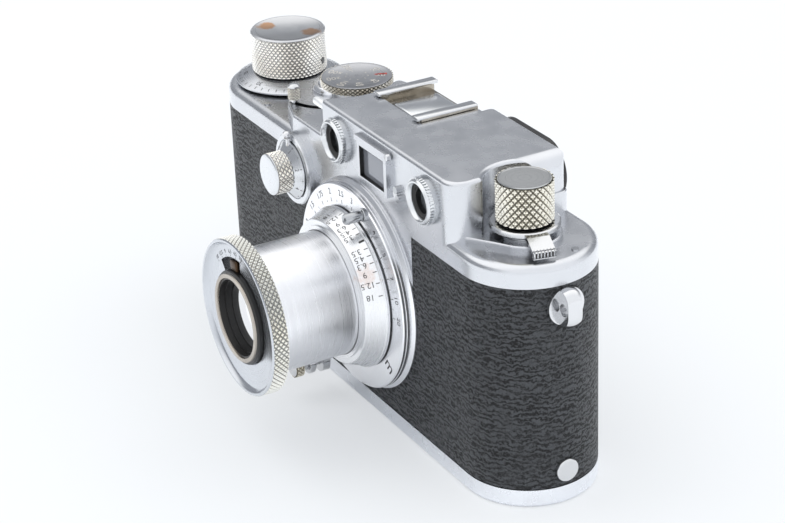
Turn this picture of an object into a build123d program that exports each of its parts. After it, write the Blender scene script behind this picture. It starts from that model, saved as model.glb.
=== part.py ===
"""Collapsible-lens 35 mm rangefinder camera, modelled piece by piece in millimetres.

+X is right as seen from the front, the lens points along -Y, +Z is up.
The origin is the centre of the base face, on the body's mid-planes.
"""
from build123d import *
import math
import os

os.makedirs("parts", exist_ok=True)

# Body
BODY_LENGTH = 136.0
BODY_DEPTH = 30.0
FRONT = -BODY_DEPTH / 2
KNOB_X = BODY_LENGTH / 2 - BODY_DEPTH / 2
BASE_HEIGHT = 4.2
BASE_FLOOR = 1.2
BASE_WALL = 0.9
BODY_GAP = 0.15
COVERING = 0.7
SHELL_WALL = 1.0
SHELL_TOP = 51.3
COVER_WALL = 1.0
DECK_Z = 56.2

# Raised parts of the top cover
LEFT_PLATEAU_Z = 60.6
RIGHT_PLATEAU_Z = 57.4
HOUSING_Z = 69.4
HOUSING_BACK = 14.2
HOUSING_END = 47.4
END_ROLL = 3.4
SHOE_FLOOR = 66.6
SHOE_BED = (-3.5, 17.1)
SHOE_BED_FRONT = -3.3
SHOE_BED_BACK = 11.5
APRON_HALF = 22.7
APRON_BOTTOM = 34.0

# Lens mount and focusing
LENS_X = 9.0
LENS_Z = 31.2
FLANGE_Y = -16.2
FLANGE_R = 24.2
THREAD_R = 19.5
SCALE_Y = -18.15
SCALE_R = 23.5
TAIL_R = 17.0
DEPTH_RING_Y = -23.9
FOCUS_BORE = 14.2
FOCUS_TRAVEL = 2.63
MOVING_GAP = 0.3

# Collapsible tube
TUBE_R = 14.1
TUBE_WALL = 1.2
TUBE_FRONT = -42.4
TUBE_BACK = -18.6
RING_R = 17.7
RING_FRONT = -46.2
DISH_R = 10.9
DISH_Y = -45.0
IRIS_RING_R = 10.6
CELL_R = 9.0
GLASS_R = 6.6

# Film path
FILM_Y = 12.5
GATE_WIDTH = 36.0
GATE_HEIGHT = 24.0
FILM_WIDTH = 35.0

# Controls
DIAL_X = -18.4
RELEASE_X = -31.0
SLOW_X = -20.3
SLOW_Z = 48.3
WINDOW_Z = 62.4
VIEW_X = 16.5
VIEW_Z = 61.5
VIEW_WIDTH = 11.8
VIEW_HEIGHT = 7.7
WINDOW_LEFT_X = 0.3
WINDOW_RIGHT_X = 38.3
EYE_LEFT_X = 25.0
EYE_RIGHT_X = 37.6
EYE_Z = 61.9
EYE_R = 7.0
LUG_Z = 46.7
STUD_Z = 8.2


def front_at(y):
    """Plane facing the front: its x is X, its y is Z, and it extrudes towards -Y."""
    return Plane(origin=(0, y, 0), x_dir=(1, 0, 0), z_dir=(0, -1, 0))


def side_at(x, side=1):
    """Plane facing out of one end of the body; its y is Z."""
    return Plane(origin=(x, 0, 0), x_dir=(0, side, 0), z_dir=(side, 0, 0))


def disc(plane, at, radius, height, mode=Mode.ADD):
    """A round boss or hole standing on a plane."""
    with BuildSketch(plane) as profile:
        with Locations(at):
            Circle(radius)
    extrude(profile.sketch, amount=height, mode=mode)


def ring(plane, at, outer, inner, height):
    """A flat ring standing on a plane."""
    with BuildSketch(plane) as profile:
        with Locations(at):
            Circle(outer)
            Circle(inner, mode=Mode.SUBTRACT)
    extrude(profile.sketch, amount=height)


def stadium(z, margin, height, mode=Mode.ADD):
    """The body's round-ended plan, drawn in by a margin and extruded up."""
    with BuildSketch(Plane.XY.offset(z)) as profile:
        SlotOverall(BODY_LENGTH - 2 * margin, BODY_DEPTH - 2 * margin)
    extrude(profile.sketch, amount=height, mode=mode)


def turned(points, x=LENS_X, z=LENS_Z):
    """A body turned about a front-to-back axis from (radius, y) points."""
    with BuildSketch(Plane(origin=(x, 0, z), x_dir=(1, 0, 0), z_dir=(0, 0, 1))) as profile:
        with BuildLine():
            Polyline(*points, close=True)
        make_face()
    revolve(profile.sketch, axis=Axis((x, 0, z), (0, 1, 0)))


def turned_up(points, x, y=0.0):
    """A body turned about a vertical axis from (radius, z) points."""
    with BuildSketch(Plane(origin=(x, y, 0), x_dir=(1, 0, 0), z_dir=(0, -1, 0))) as profile:
        with BuildLine():
            Polyline(*points, close=True)
        make_face()
    revolve(profile.sketch, axis=Axis((x, y, 0), (0, 0, 1)))


def finish(piece, name):
    """Label one piece and write it to its own file."""
    piece.part.label = name
    export_step(piece.part, f"parts/{name}.step")


# ---------------------------------------------------------------- outlines of the top cover
DIAL_CLEARANCE_R = 13.4
REWIND_CLEARANCE_R = 8.5
REWIND_NOSE_R = 7.8


def round_corner(profile, at, radius):
    """Round the corner of a sketch that lies nearest to a point."""
    corner = profile.vertices().sort_by_distance((*at, 0))[0]
    fillet(corner, radius)


def around(x, radius, angle):
    """A point on a circle about a vertical axis on the body's centre line."""
    turn = math.radians(angle)
    return (x + radius * math.cos(turn), radius * math.sin(turn))


def left_plateau(profile):
    """Step under the speed dial and release, hollowed round the counter dial."""
    hollow = [around(-KNOB_X, DIAL_CLEARANCE_R, angle) for angle in (-25, 0, 25)]
    with BuildLine() as outline:
        Polyline((5, FRONT), (-22.0, FRONT), (-28.4, -13.0), hollow[0])
        ThreePointArc(*hollow)
        Polyline(hollow[2], (-28.4, 13.0), (-22.0, -FRONT), (17.7, -FRONT), (17.7, 0), (5, FRONT))
    make_face(outline.edges())


def right_plateau(profile):
    """Low step that ends in a round nose under the rewind knob."""
    nose = [around(KNOB_X, REWIND_NOSE_R, angle) for angle in (-55, 15, 90)]
    with BuildLine() as outline:
        Polyline((30, -12.5), (46.4, -13.5), nose[0])
        ThreePointArc(*nose)
        Polyline(nose[2], (46, 9), (30, 9), (30, -12.5))
    make_face(outline.edges())


def rear_shoulder(profile):
    """Low step behind the rewind knob, a little proud of the housing's end."""
    corner = (HOUSING_END + 0.5, HOUSING_BACK + 0.3)
    inner = around(KNOB_X, REWIND_CLEARANCE_R - 0.3, 129)
    with BuildLine() as outline:
        Polyline((38, inner[1]), inner, (corner[0], inner[1] + 0.4), corner, (45.2, corner[1]),
                 (45.2, HOUSING_BACK - 0.5), (38, HOUSING_BACK - 0.5), (38, inner[1]))
    make_face(outline.edges())
    round_corner(profile, corner, 2.2)


def housing(profile):
    """Rangefinder housing: hollowed at both ends, cut back on the left behind the accessory shoe."""
    horn = around(KNOB_X, REWIND_CLEARANCE_R, -118)
    end = around(KNOB_X, REWIND_CLEARANCE_R, 180 - math.degrees(math.acos((KNOB_X - HOUSING_END) / REWIND_CLEARANCE_R)))
    with BuildLine() as outline:
        Polyline((-7.4, -12.6), (-7.4, FRONT), (49.3, FRONT), horn)
        ThreePointArc(horn, around(KNOB_X, REWIND_CLEARANCE_R, 180), end)
        Polyline(end, (HOUSING_END, HOUSING_BACK), (SHOE_BED[1] + 0.6, HOUSING_BACK),
                 (SHOE_BED[1] + 0.6, SHOE_BED_BACK), (SHOE_BED[0] - 1.0, SHOE_BED_BACK),
                 (SHOE_BED[0] - 1.0, 6.6), (-9.4, 5.2))
        ThreePointArc((-9.4, 5.2), (-4.9, -4.2), (-7.4, -12.6))
    make_face(outline.edges())
    round_corner(profile, (-7.4, FRONT), 1.0)
    round_corner(profile, (49.3, FRONT), 4.4)
    round_corner(profile, horn, 0.9)
    round_corner(profile, (HOUSING_END, HOUSING_BACK), 2.5)
    round_corner(profile, (SHOE_BED[1] + 0.6, HOUSING_BACK), 1.5)
    round_corner(profile, (-9.4, 5.2), 1.5)
    round_corner(profile, (-7.4, -12.6), 1.0)


# ---------------------------------------------------------------- body shell and covering
SHELL_STEP = BASE_WALL + MOVING_GAP
SHELL_INNER = COVERING + SHELL_WALL
SHELL_SHOULDER = BASE_HEIGHT + BODY_GAP
STUD_SHANK_R = 1.2

with BuildPart() as body_shell:
    stadium(SHELL_SHOULDER, COVERING, SHELL_TOP - SHELL_SHOULDER)
    stadium(BASE_FLOOR + 0.5, SHELL_STEP, SHELL_SHOULDER - BASE_FLOOR - 0.5)
    stadium(0, SHELL_INNER, SHELL_TOP, mode=Mode.SUBTRACT)
    disc(front_at(0), (LENS_X, LENS_Z), THREAD_R + 1.7, BODY_DEPTH, mode=Mode.SUBTRACT)
    disc(side_at(0), (0, STUD_Z), STUD_SHANK_R, BODY_LENGTH, mode=Mode.SUBTRACT)
finish(body_shell, "body_shell")

with BuildPart() as covering:
    stadium(SHELL_SHOULDER, 0, SHELL_TOP - SHELL_SHOULDER)
    fillet(covering.edges().group_by(Axis.Z)[0], 0.25)
    stadium(0, COVERING, SHELL_TOP, mode=Mode.SUBTRACT)
    disc(front_at(0), (LENS_X, LENS_Z), FLANGE_R + 0.05, BODY_DEPTH, mode=Mode.SUBTRACT)
    disc(front_at(0), (SLOW_X, SLOW_Z), 8.45, BODY_DEPTH, mode=Mode.SUBTRACT)
    with BuildSketch(front_at(0)):
        with Locations((LENS_X, (SHELL_TOP + APRON_BOTTOM) / 2)):
            Rectangle(2 * APRON_HALF + 0.3, SHELL_TOP - APRON_BOTTOM + 2)
    extrude(amount=BODY_DEPTH, mode=Mode.SUBTRACT)
    for side in (-1, 1):
        disc(side_at(0, side), (0, LUG_Z), 4.25, BODY_LENGTH, mode=Mode.SUBTRACT)
    disc(side_at(0), (0, STUD_Z), 2.65, BODY_LENGTH, mode=Mode.SUBTRACT)
finish(covering, "covering")

# ---------------------------------------------------------------- top cover
COVER_BOTTOM = SHELL_TOP + 0.04
BURIED = 3.0
LEVER_SLOT_R = 11.55
COLLAR_R = 4.1
SHOULDER_Z = 60.9
RAISED = (
    (left_plateau, LEFT_PLATEAU_Z, 0.6),
    (right_plateau, RIGHT_PLATEAU_Z, 0.4),
    (rear_shoulder, SHOULDER_Z, 0.3),
    (housing, HOUSING_Z, 0.9),
)


def shoe_bed(inset, bottom, top, mode):
    """The box in which the accessory shoe is sunk, grown by an inset on three sides."""
    with BuildSketch(Plane.XY.offset(bottom)) as profile:
        with Locations(((SHOE_BED[0] + SHOE_BED[1]) / 2, SHOE_BED_FRONT - inset)):
            Rectangle(SHOE_BED[1] - SHOE_BED[0] + 2 * inset, SHOE_BED_BACK - SHOE_BED_FRONT + inset,
                      align=(Align.CENTER, Align.MIN))
    extrude(profile.sketch, amount=top - bottom, mode=mode)


raised_blocks = []
for outline_of, top, edge_radius in RAISED:
    with BuildPart() as block:
        with BuildSketch(Plane.XY.offset(DECK_Z - BURIED)) as profile:
            outline_of(profile)
        extrude(amount=top - DECK_Z + BURIED)
        fillet(block.edges().group_by(Axis.Z)[-1], edge_radius)
    raised_blocks.append(block.part)

DECK_ROUND = 1.8
with BuildPart() as top_cover:
    stadium(COVER_BOTTOM, 0, DECK_Z - COVER_BOTTOM)
    fillet(top_cover.edges().group_by(Axis.Z)[-1], DECK_ROUND)
    add(raised_blocks)
    # hollow inside
    stadium(COVER_BOTTOM, COVER_WALL, DECK_Z - COVER_WALL - COVER_BOTTOM, mode=Mode.SUBTRACT)
    for outline_of, top, edge_radius in RAISED:
        with BuildSketch(Plane.XY.offset(DECK_Z - BURIED)) as profile:
            outline_of(profile)
            offset(amount=-COVER_WALL, mode=Mode.REPLACE)
        extrude(amount=top - COVER_WALL - DECK_Z + BURIED, mode=Mode.SUBTRACT)
    # rounded right end of the housing behind the rewind knob
    with BuildSketch(front_at(20)):
        with BuildLine():
            Line((HOUSING_END - END_ROLL, HOUSING_Z + 1), (HOUSING_END - END_ROLL, HOUSING_Z))
            RadiusArc((HOUSING_END - END_ROLL, HOUSING_Z), (HOUSING_END, HOUSING_Z - END_ROLL), END_ROLL)
            Line((HOUSING_END, HOUSING_Z - END_ROLL), (HOUSING_END + 1, HOUSING_Z - END_ROLL))
            Line((HOUSING_END + 1, HOUSING_Z - END_ROLL), (HOUSING_END + 1, HOUSING_Z + 1))
            Line((HOUSING_END + 1, HOUSING_Z + 1), (HOUSING_END - END_ROLL, HOUSING_Z + 1))
        make_face()
    extrude(amount=20, mode=Mode.SUBTRACT)
    # bed of the accessory shoe
    shoe_bed(COVER_WALL, SHOE_FLOOR - COVER_WALL, HOUSING_Z - 0.5, Mode.ADD)
    shoe_bed(0, SHOE_FLOOR, HOUSING_Z + 1, Mode.SUBTRACT)
    # apron in front, down behind the lens flange
    with BuildSketch(front_at(FRONT + COVERING)):
        with Locations((LENS_X, (COVER_BOTTOM + APRON_BOTTOM) / 2 + 0.5)):
            Rectangle(2 * APRON_HALF, COVER_BOTTOM - APRON_BOTTOM + 1)
    extrude(amount=COVERING)
    disc(front_at(0), (LENS_X, LENS_Z), FLANGE_R + 0.05, BODY_DEPTH, mode=Mode.SUBTRACT)
    # shaft holes in the decks
    for x, radius in ((-KNOB_X, 3.0), (RELEASE_X, COLLAR_R), (DIAL_X, 3.6), (KNOB_X, 5.2)):
        disc(Plane.XY.offset(COVER_BOTTOM), (x, 0), radius, 20, mode=Mode.SUBTRACT)
    # curved slot of the advance and rewind lever
    with BuildSketch(Plane.XY.offset(COVER_BOTTOM + 3)):
        with Locations((RELEASE_X, 0)):
            Circle(LEVER_SLOT_R + 0.8)
            Circle(LEVER_SLOT_R - 0.8, mode=Mode.SUBTRACT)
        with Locations((RELEASE_X + 5.6, -9.85)):
            Rectangle(7.6, 4.8, mode=Mode.INTERSECT)
    extrude(amount=10, mode=Mode.SUBTRACT)
    # windows in the front, eyepiece opening in the back
    for x in (WINDOW_LEFT_X, WINDOW_RIGHT_X):
        disc(front_at(0), (x, WINDOW_Z), 4.2, BODY_DEPTH, mode=Mode.SUBTRACT)
    with BuildSketch(front_at(0)):
        with Locations((VIEW_X, VIEW_Z)):
            Rectangle(VIEW_WIDTH, VIEW_HEIGHT)
    extrude(amount=BODY_DEPTH, mode=Mode.SUBTRACT)
    with BuildSketch(front_at(20)):
        with Locations(((EYE_LEFT_X + EYE_RIGHT_X) / 2, EYE_Z)):
            SlotCenterToCenter(EYE_RIGHT_X - EYE_LEFT_X, 8.0)
    extrude(amount=10, mode=Mode.SUBTRACT)
finish(top_cover, "top_cover")

# ---------------------------------------------------------------- base plate, lock and hook
LOCK_R = 9.0
LOCK_RECESS = 2.4
LOCK_SHAFT_R = 2.5
RUNNING_FIT = 0.05
BUSH_BORE_R = 2.6
BUSH_BORE = 5.2
HOOK_X = 64.4

with BuildPart() as base_plate:
    stadium(0, 0, BASE_HEIGHT)
    fillet(base_plate.edges().group_by(Axis.Z)[0], 0.9)
    stadium(BASE_FLOOR, BASE_WALL, BASE_HEIGHT, mode=Mode.SUBTRACT)
    disc(Plane.XY.offset(BASE_FLOOR), (-KNOB_X, 0), LOCK_R + 1.6, 2.6)
    disc(Plane.XY, (-KNOB_X, 0), LOCK_R + 0.3, LOCK_RECESS, mode=Mode.SUBTRACT)
    disc(Plane.XY, (-KNOB_X, 0), LOCK_SHAFT_R + RUNNING_FIT, 6, mode=Mode.SUBTRACT)
    disc(Plane.XY, (KNOB_X, 0), 6.0, 6, mode=Mode.SUBTRACT)
    # hook that reaches up round the stud's shank
    with BuildSketch(side_at(HOOK_X)):
        with Locations((0, 5.0)):
            Rectangle(6.8, 7.8)
        with Locations((0, STUD_Z)):
            Rectangle(3.0, 3.2, mode=Mode.SUBTRACT)
    extrude(amount=1.1)
finish(base_plate, "base_plate")

with BuildPart() as tripod_bush:
    disc(Plane.XY, (KNOB_X, 0), 6.0, BASE_FLOOR)
    disc(Plane.XY.offset(BASE_FLOOR), (KNOB_X, 0), 7.5, 4.6)
    disc(Plane.XY, (KNOB_X, 0), BUSH_BORE_R, BUSH_BORE, mode=Mode.SUBTRACT)
    chamfer(tripod_bush.edges().filter_by(GeomType.CIRCLE).group_by(Axis.Z)[0].sort_by(SortBy.RADIUS)[0], 0.4)
finish(tripod_bush, "tripod_bush")

with BuildPart() as lock_key:
    disc(Plane.XY.offset(0.8), (-KNOB_X, 0), LOCK_R, 1.3)
    disc(Plane.XY.offset(2.0), (-KNOB_X, 0), LOCK_SHAFT_R, 3.2)
    with BuildSketch(Plane.XY.offset(4.25)):
        with Locations((-KNOB_X, 0)):
            Rectangle(5.0, 17.0)
            Circle(9.0, mode=Mode.INTERSECT)
    extrude(amount=0.95)
    # folding key lying flat in the recess
    with BuildSketch(Plane.XY.offset(0.15)):
        with Locations((-KNOB_X, 0)):
            Circle(8.2)
            Circle(6.4, mode=Mode.SUBTRACT)
        with Locations((-KNOB_X - 5, 0)):
            Rectangle(10, 18, mode=Mode.SUBTRACT)
        with Locations((-KNOB_X, 0)):
            Rectangle(2.2, 16.2)
    extrude(amount=0.65)
finish(lock_key, "lock_key")

with BuildPart() as hook_stud:
    disc(side_at(BODY_LENGTH / 2 - COVERING), (0, STUD_Z), 2.6, 1.6)
    fillet(hook_stud.edges().group_by(Axis.X)[-1], 0.35)
    disc(side_at(HOOK_X - 0.4), (0, STUD_Z), STUD_SHANK_R, BODY_LENGTH / 2 - COVERING - HOOK_X + 0.4)
finish(hook_stud, "hook_stud")

LUG_R = 4.2
LUG_BASE = 1.2
LUG_EYE_R = 1.35
for side, name in ((-1, "strap_lug_left"), (1, "strap_lug_right")):
    root = side * (BODY_LENGTH / 2 - COVERING)
    with BuildPart() as strap_lug:
        disc(side_at(root, side), (0, LUG_Z), LUG_R, 4.4)
        fillet(strap_lug.faces().sort_by(Axis.X)[0 if side < 0 else -1].edges(), 2.4)
        for flank in (-1, 1):
            with BuildSketch(side_at(root + side * LUG_BASE, side)):
                with Locations((flank * 4.2, LUG_Z)):
                    Rectangle(5.0, 10.0)
            extrude(amount=5, mode=Mode.SUBTRACT)
        with BuildSketch(front_at(10)):
            with Locations((root + side * (LUG_BASE + 1.45), LUG_Z)):
                Circle(LUG_EYE_R)
        extrude(amount=20, mode=Mode.SUBTRACT)
    finish(strap_lug, name)

# ---------------------------------------------------------------- film path inside the body
CRATE_HALF_DEPTH = 13.0
CRATE_BOTTOM = 9.0
CRATE_TOP = 50.5
DECK_PLATE = 1.2
THROAT_WALL = 1.2
CURTAIN_Y = 10.2
DRUM_R = 5.8
ROLLER_R = 2.6
SPROCKET_R = 5.6

with BuildPart() as film_crate:
    for z in (CRATE_BOTTOM, CRATE_TOP - DECK_PLATE):
        with BuildSketch(Plane.XY.offset(z)):
            with Locations((-2.0, 0)):
                Rectangle(76.0, 2 * CRATE_HALF_DEPTH - 2.0)
        extrude(amount=DECK_PLATE)
    # upright plate with the film gate and its two rails
    with BuildSketch(front_at(FILM_Y - 0.9)):
        with Locations((LENS_X, (CRATE_BOTTOM + CRATE_TOP) / 2)):
            Rectangle(58.0, CRATE_TOP - CRATE_BOTTOM)
        with Locations((LENS_X, LENS_Z)):
            Rectangle(GATE_WIDTH, GATE_HEIGHT, mode=Mode.SUBTRACT)
    extrude(amount=0.8)
    for rail in (-1, 1):
        with BuildSketch(front_at(FILM_Y)):
            with Locations((LENS_X, LENS_Z + rail * (GATE_HEIGHT / 2 + 1.6))):
                Rectangle(58.0, 1.6)
        extrude(amount=1.0)
    # throat wall round the back of the lens
    ring(front_at(-3.0), (LENS_X, LENS_Z), THREAD_R + 1.0, THREAD_R + 0.3, 9.0)
    disc(front_at(-3.0), (LENS_X, LENS_Z), THREAD_R + 0.3, 12.0, mode=Mode.SUBTRACT)
    with BuildSketch(front_at(8.6)):
        with Locations((LENS_X, LENS_Z)):
            Rectangle(40.0, 40.3)
            Rectangle(GATE_WIDTH, GATE_HEIGHT + 3, mode=Mode.SUBTRACT)
    extrude(amount=0.8)
    # shaft holes in both plates
    for x, radius in ((DIAL_X, 2.05), (RELEASE_X, 2.05), (33.5, 1.05)):
        disc(Plane.XY, (x, 0), radius, 60, mode=Mode.SUBTRACT)
finish(film_crate, "film_crate")

with BuildPart() as shutter_curtains:
    for y, shift in ((CURTAIN_Y, -6.0), (CURTAIN_Y + 0.5, 6.0)):
        with BuildSketch(front_at(y)):
            with Locations((LENS_X + shift, LENS_Z)):
                Rectangle(34.0, GATE_HEIGHT + 6)
        extrude(amount=0.25)
finish(shutter_curtains, "shutter_curtains")

with BuildPart() as pressure_plate:
    with BuildSketch(front_at(FILM_Y + 0.65)):
        with Locations((LENS_X, LENS_Z)):
            RectangleRounded(56.0, FILM_WIDTH - 3, 2.0)
    extrude(amount=0.45)
finish(pressure_plate, "pressure_plate")

with BuildPart() as take_up_spool:
    turned_up([(2.55, 8.0), (12.3, 8.0), (12.3, 8.9), (5.6, 8.9), (5.6, 47.4), (12.3, 47.4), (12.3, 48.3),
               (2.55, 48.3)], -KNOB_X)
finish(take_up_spool, "take_up_spool")

with BuildPart() as sprocket_shaft:
    turned_up([(0, 6.5), (2.0, 6.5), (2.0, 10.8), (SPROCKET_R - 1, 10.8), (SPROCKET_R - 1, 49.0), (2.0, 49.0),
               (2.0, 54.2), (0, 54.2)], RELEASE_X)
    for z in (LENS_Z - FILM_WIDTH / 2 + 3, LENS_Z + FILM_WIDTH / 2 - 3):
        disc(Plane.XY.offset(z - 0.8), (RELEASE_X, 0), SPROCKET_R - 0.4, 1.6)
        with BuildSketch(Plane.XY.offset(z - 0.5)):
            with Locations((RELEASE_X, 0)):
                with PolarLocations(SPROCKET_R - 0.3, 8):
                    Rectangle(1.6, 1.2)
        extrude(amount=1.0)
finish(sprocket_shaft, "sprocket_shaft")

with BuildPart() as shutter_drum:
    turned_up([(0, 7.5), (2.0, 7.5), (2.0, 10.6), (DRUM_R, 10.6), (DRUM_R, 48.8), (2.0, 48.8), (2.0, 66.0),
               (0, 66.0)], DIAL_X)
finish(shutter_drum, "shutter_drum")

with BuildPart() as spring_roller:
    turned_up([(0, 7.5), (1.0, 7.5), (1.0, 11.0), (ROLLER_R, 11.0), (ROLLER_R, 48.6), (1.0, 48.6), (1.0, 51.0),
               (0, 51.0)], 33.5)
finish(spring_roller, "spring_roller")

# ---------------------------------------------------------------- wind knob and counter
KNOB_R = 9.0
KNOB_BOTTOM = 59.2
KNOB_TOP = 68.9
SHAFT_R = 2.5
COUNTER_R = 12.95
SCREW_TURN = 38.0

with BuildPart() as wind_knob:
    disc(Plane.XY.offset(KNOB_BOTTOM), (-KNOB_X, 0), KNOB_R, KNOB_TOP - KNOB_BOTTOM)
    chamfer(wind_knob.edges().group_by(Axis.Z)[-1], 0.7)
    chamfer(wind_knob.edges().group_by(Axis.Z)[0], 0.4)
    disc(Plane.XY.offset(KNOB_BOTTOM), (-KNOB_X, 0), SHAFT_R, 6.0, mode=Mode.SUBTRACT)
    # set screw hole through the side
    screw = math.radians(SCREW_TURN)
    with BuildSketch(Plane(origin=(-KNOB_X, 0, 0), x_dir=(-math.sin(screw), math.cos(screw), 0),
                           z_dir=(math.cos(screw), math.sin(screw), 0))):
        with Locations((0, 61.7)):
            Circle(0.75)
    extrude(amount=KNOB_R + 1, mode=Mode.SUBTRACT)
finish(wind_knob, "wind_knob")

with BuildPart() as wind_shaft:
    disc(Plane.XY.offset(7.0), (-KNOB_X, 0), SHAFT_R, KNOB_BOTTOM + 6.0 - 7.0)
finish(wind_shaft, "wind_shaft")

with BuildPart() as counter_dial:
    turned_up([(SHAFT_R + RUNNING_FIT, 56.5), (COUNTER_R - 0.5, 56.5), (COUNTER_R, 56.8), (COUNTER_R, 57.1),
               (COUNTER_R - 0.3, 57.3), (KNOB_R, 58.8), (SHAFT_R + RUNNING_FIT, 58.8)], -KNOB_X)
finish(counter_dial, "counter_dial")

# ---------------------------------------------------------------- release, speed dial, lever
COLLAR_TOP = 62.2
BUTTON_R = 3.0
BUTTON_TOP = 63.9

with BuildPart() as release_collar:
    turned_up([(BUTTON_R + 0.08, 56.5), (COLLAR_R, 56.5), (COLLAR_R, LEFT_PLATEAU_Z), (4.7, LEFT_PLATEAU_Z),
               (4.7, 61.3), (4.3, COLLAR_TOP), (BUTTON_R + 0.08, COLLAR_TOP)], RELEASE_X)
finish(release_collar, "release_collar")

with BuildPart() as release_button:
    disc(Plane.XY.offset(57.0), (RELEASE_X, 0), BUTTON_R, BUTTON_TOP - 57.0)
    fillet(release_button.edges().group_by(Axis.Z)[-1], 0.8)
    disc(Plane.XY.offset(BUTTON_TOP - 1.4), (RELEASE_X, 0), 1.1, 3, mode=Mode.SUBTRACT)
finish(release_button, "release_button")

DIAL_R = 8.35
DIAL_TOP = 68.1
with BuildPart() as speed_dial:
    turned_up([(0, 66.1), (2.1, 66.1), (2.1, 61.2), (5.6, 61.2), (5.6, 65.9), (7.8, 66.2), (DIAL_R, 66.5),
               (DIAL_R, 67.8), (DIAL_R - 0.3, DIAL_TOP), (0, DIAL_TOP)], DIAL_X)
finish(speed_dial, "speed_dial")

LEVER_ANGLE = -76.5
with BuildPart() as advance_lever:
    post = around(RELEASE_X, LEVER_SLOT_R, LEVER_ANGLE)
    turned_up([(0, 54.0), (0.65, 54.0), (0.65, 61.2), (1.0, 61.2), (1.0, 61.7), (1.5, 61.7), (1.5, 65.0),
               (1.0, 65.4), (0, 65.4)], *post)
    # arm under the deck, pivoting round the sprocket shaft
    disc(Plane.XY.offset(53.8), (RELEASE_X, 0), 3.4, 1.0)
    arm = (RELEASE_X + (post[0] - RELEASE_X) / 2, post[1] / 2)
    with BuildSketch(Plane.XY.offset(53.8)):
        with Locations(Location((*arm, 0), (0, 0, LEVER_ANGLE))):
            SlotCenterToCenter(LEVER_SLOT_R, 2.6)
    extrude(amount=1.0)
    disc(Plane.XY, (RELEASE_X, 0), 2.05, 60, mode=Mode.SUBTRACT)
finish(advance_lever, "advance_lever")

with BuildPart() as index_pin:
    with BuildSketch(side_at(-7.4, -1)):
        with Locations((13.0, 66.7)):
            Circle(0.95)
    extrude(amount=6.6)
    chamfer(index_pin.edges().group_by(Axis.X)[0], 0.25)
finish(index_pin, "index_pin")

# ---------------------------------------------------------------- rewind knob, fork and dioptre lever
REWIND_R = 6.1
REWIND_BOTTOM = 60.3
REWIND_TOP = 69.4
DIOPTRE_R = 7.4

with BuildPart() as rewind_knob:
    disc(Plane.XY.offset(REWIND_BOTTOM), (KNOB_X, 0), REWIND_R, REWIND_TOP - REWIND_BOTTOM)
    chamfer(rewind_knob.edges().group_by(Axis.Z)[-1], 0.4)
    disc(Plane.XY.offset(REWIND_BOTTOM), (KNOB_X, 0), 2.5, 5.0, mode=Mode.SUBTRACT)
finish(rewind_knob, "rewind_knob")

with BuildPart() as rewind_fork:
    disc(Plane.XY.offset(43.0), (KNOB_X, 0), 2.5, REWIND_BOTTOM + 5.0 - 43.0)
    with BuildSketch(Plane.XY.offset(39.0)):
        with Locations((KNOB_X, 0)):
            Circle(2.5)
            Rectangle(1.6, 6.0, mode=Mode.SUBTRACT)
    extrude(amount=4.0)
finish(rewind_fork, "rewind_fork")

LEVER_TAB_TURN = -14.0
TAB_WIDTH = 4.8
with BuildPart() as dioptre_lever:
    turned_up([(2.6, 56.4), (5.1, 56.4), (5.1, 58.4), (6.6, 58.4), (DIOPTRE_R, 59.0), (DIOPTRE_R, 59.8),
               (DIOPTRE_R - 0.3, 60.0), (2.6, 60.0)], KNOB_X)
    # lever that slopes down from the ring to a short upright grip
    turn = math.radians(LEVER_TAB_TURN)
    tab = Plane(origin=(KNOB_X, 0, 0), x_dir=(math.cos(turn), math.sin(turn), 0),
                z_dir=(math.sin(turn), -math.cos(turn), 0))
    with BuildSketch(tab):
        with BuildLine():
            Polyline((6.0, 58.9), (6.0, 59.8), (8.6, 59.8), (12.7, 58.2), (12.7, 56.8), (11.9, 56.8), (11.9, 57.7),
                     (8.4, 58.9), (6.0, 58.9))
        make_face()
    extrude(amount=TAB_WIDTH / 2, both=True)
    disc(Plane.XY.offset(50), (KNOB_X, 0), 2.6, 20, mode=Mode.SUBTRACT)
finish(dioptre_lever, "dioptre_lever")

# ---------------------------------------------------------------- slow-speed dial
SLOW_R = 8.4
with BuildPart() as slow_dial_plate:
    turned([(1.6, FRONT), (SLOW_R, FRONT), (SLOW_R, -16.5), (SLOW_R - 0.3, -16.8),
            (7.1, -16.8), (7.1, -16.4), (1.6, -16.4)], SLOW_X, SLOW_Z)
finish(slow_dial_plate, "slow_dial_plate")

with BuildPart() as slow_speed_dial:
    turned([(0, -14.4), (1.55, -14.4), (1.55, -16.7), (6.8, -16.7), (6.8, -17.1), (4.6, -18.8), (4.9, -19.0),
            (4.9, -22.6), (4.6, -22.9), (0, -22.9)], SLOW_X, SLOW_Z)
    # setting pointer that lies over the ring and ends in a small ball
    with BuildSketch(front_at(-16.95)):
        with Locations((SLOW_X, SLOW_Z + 6.6)):
            Rectangle(1.4, 3.6)
    extrude(amount=0.6)
    disc(front_at(-16.95), (SLOW_X, SLOW_Z + 8.6), 1.0, 1.7)
    fillet(slow_speed_dial.edges().filter_by(GeomType.CIRCLE).filter_by(lambda e: e.radius == 1.0)
           .sort_by(Axis.Y)[0], 0.7)
finish(slow_speed_dial, "slow_speed_dial")

# ---------------------------------------------------------------- windows of the housing
for x, name in ((WINDOW_LEFT_X, "window_bezel_left"), (WINDOW_RIGHT_X, "window_bezel_right")):
    with BuildPart() as window_bezel:
        turned([(3.6, -13.4), (4.2, -13.4), (4.2, FRONT), (5.3, FRONT), (5.3, -16.5), (4.7, -17.1), (4.2, -17.1),
                (3.6, -16.0)], x, WINDOW_Z)
    finish(window_bezel, name)

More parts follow.
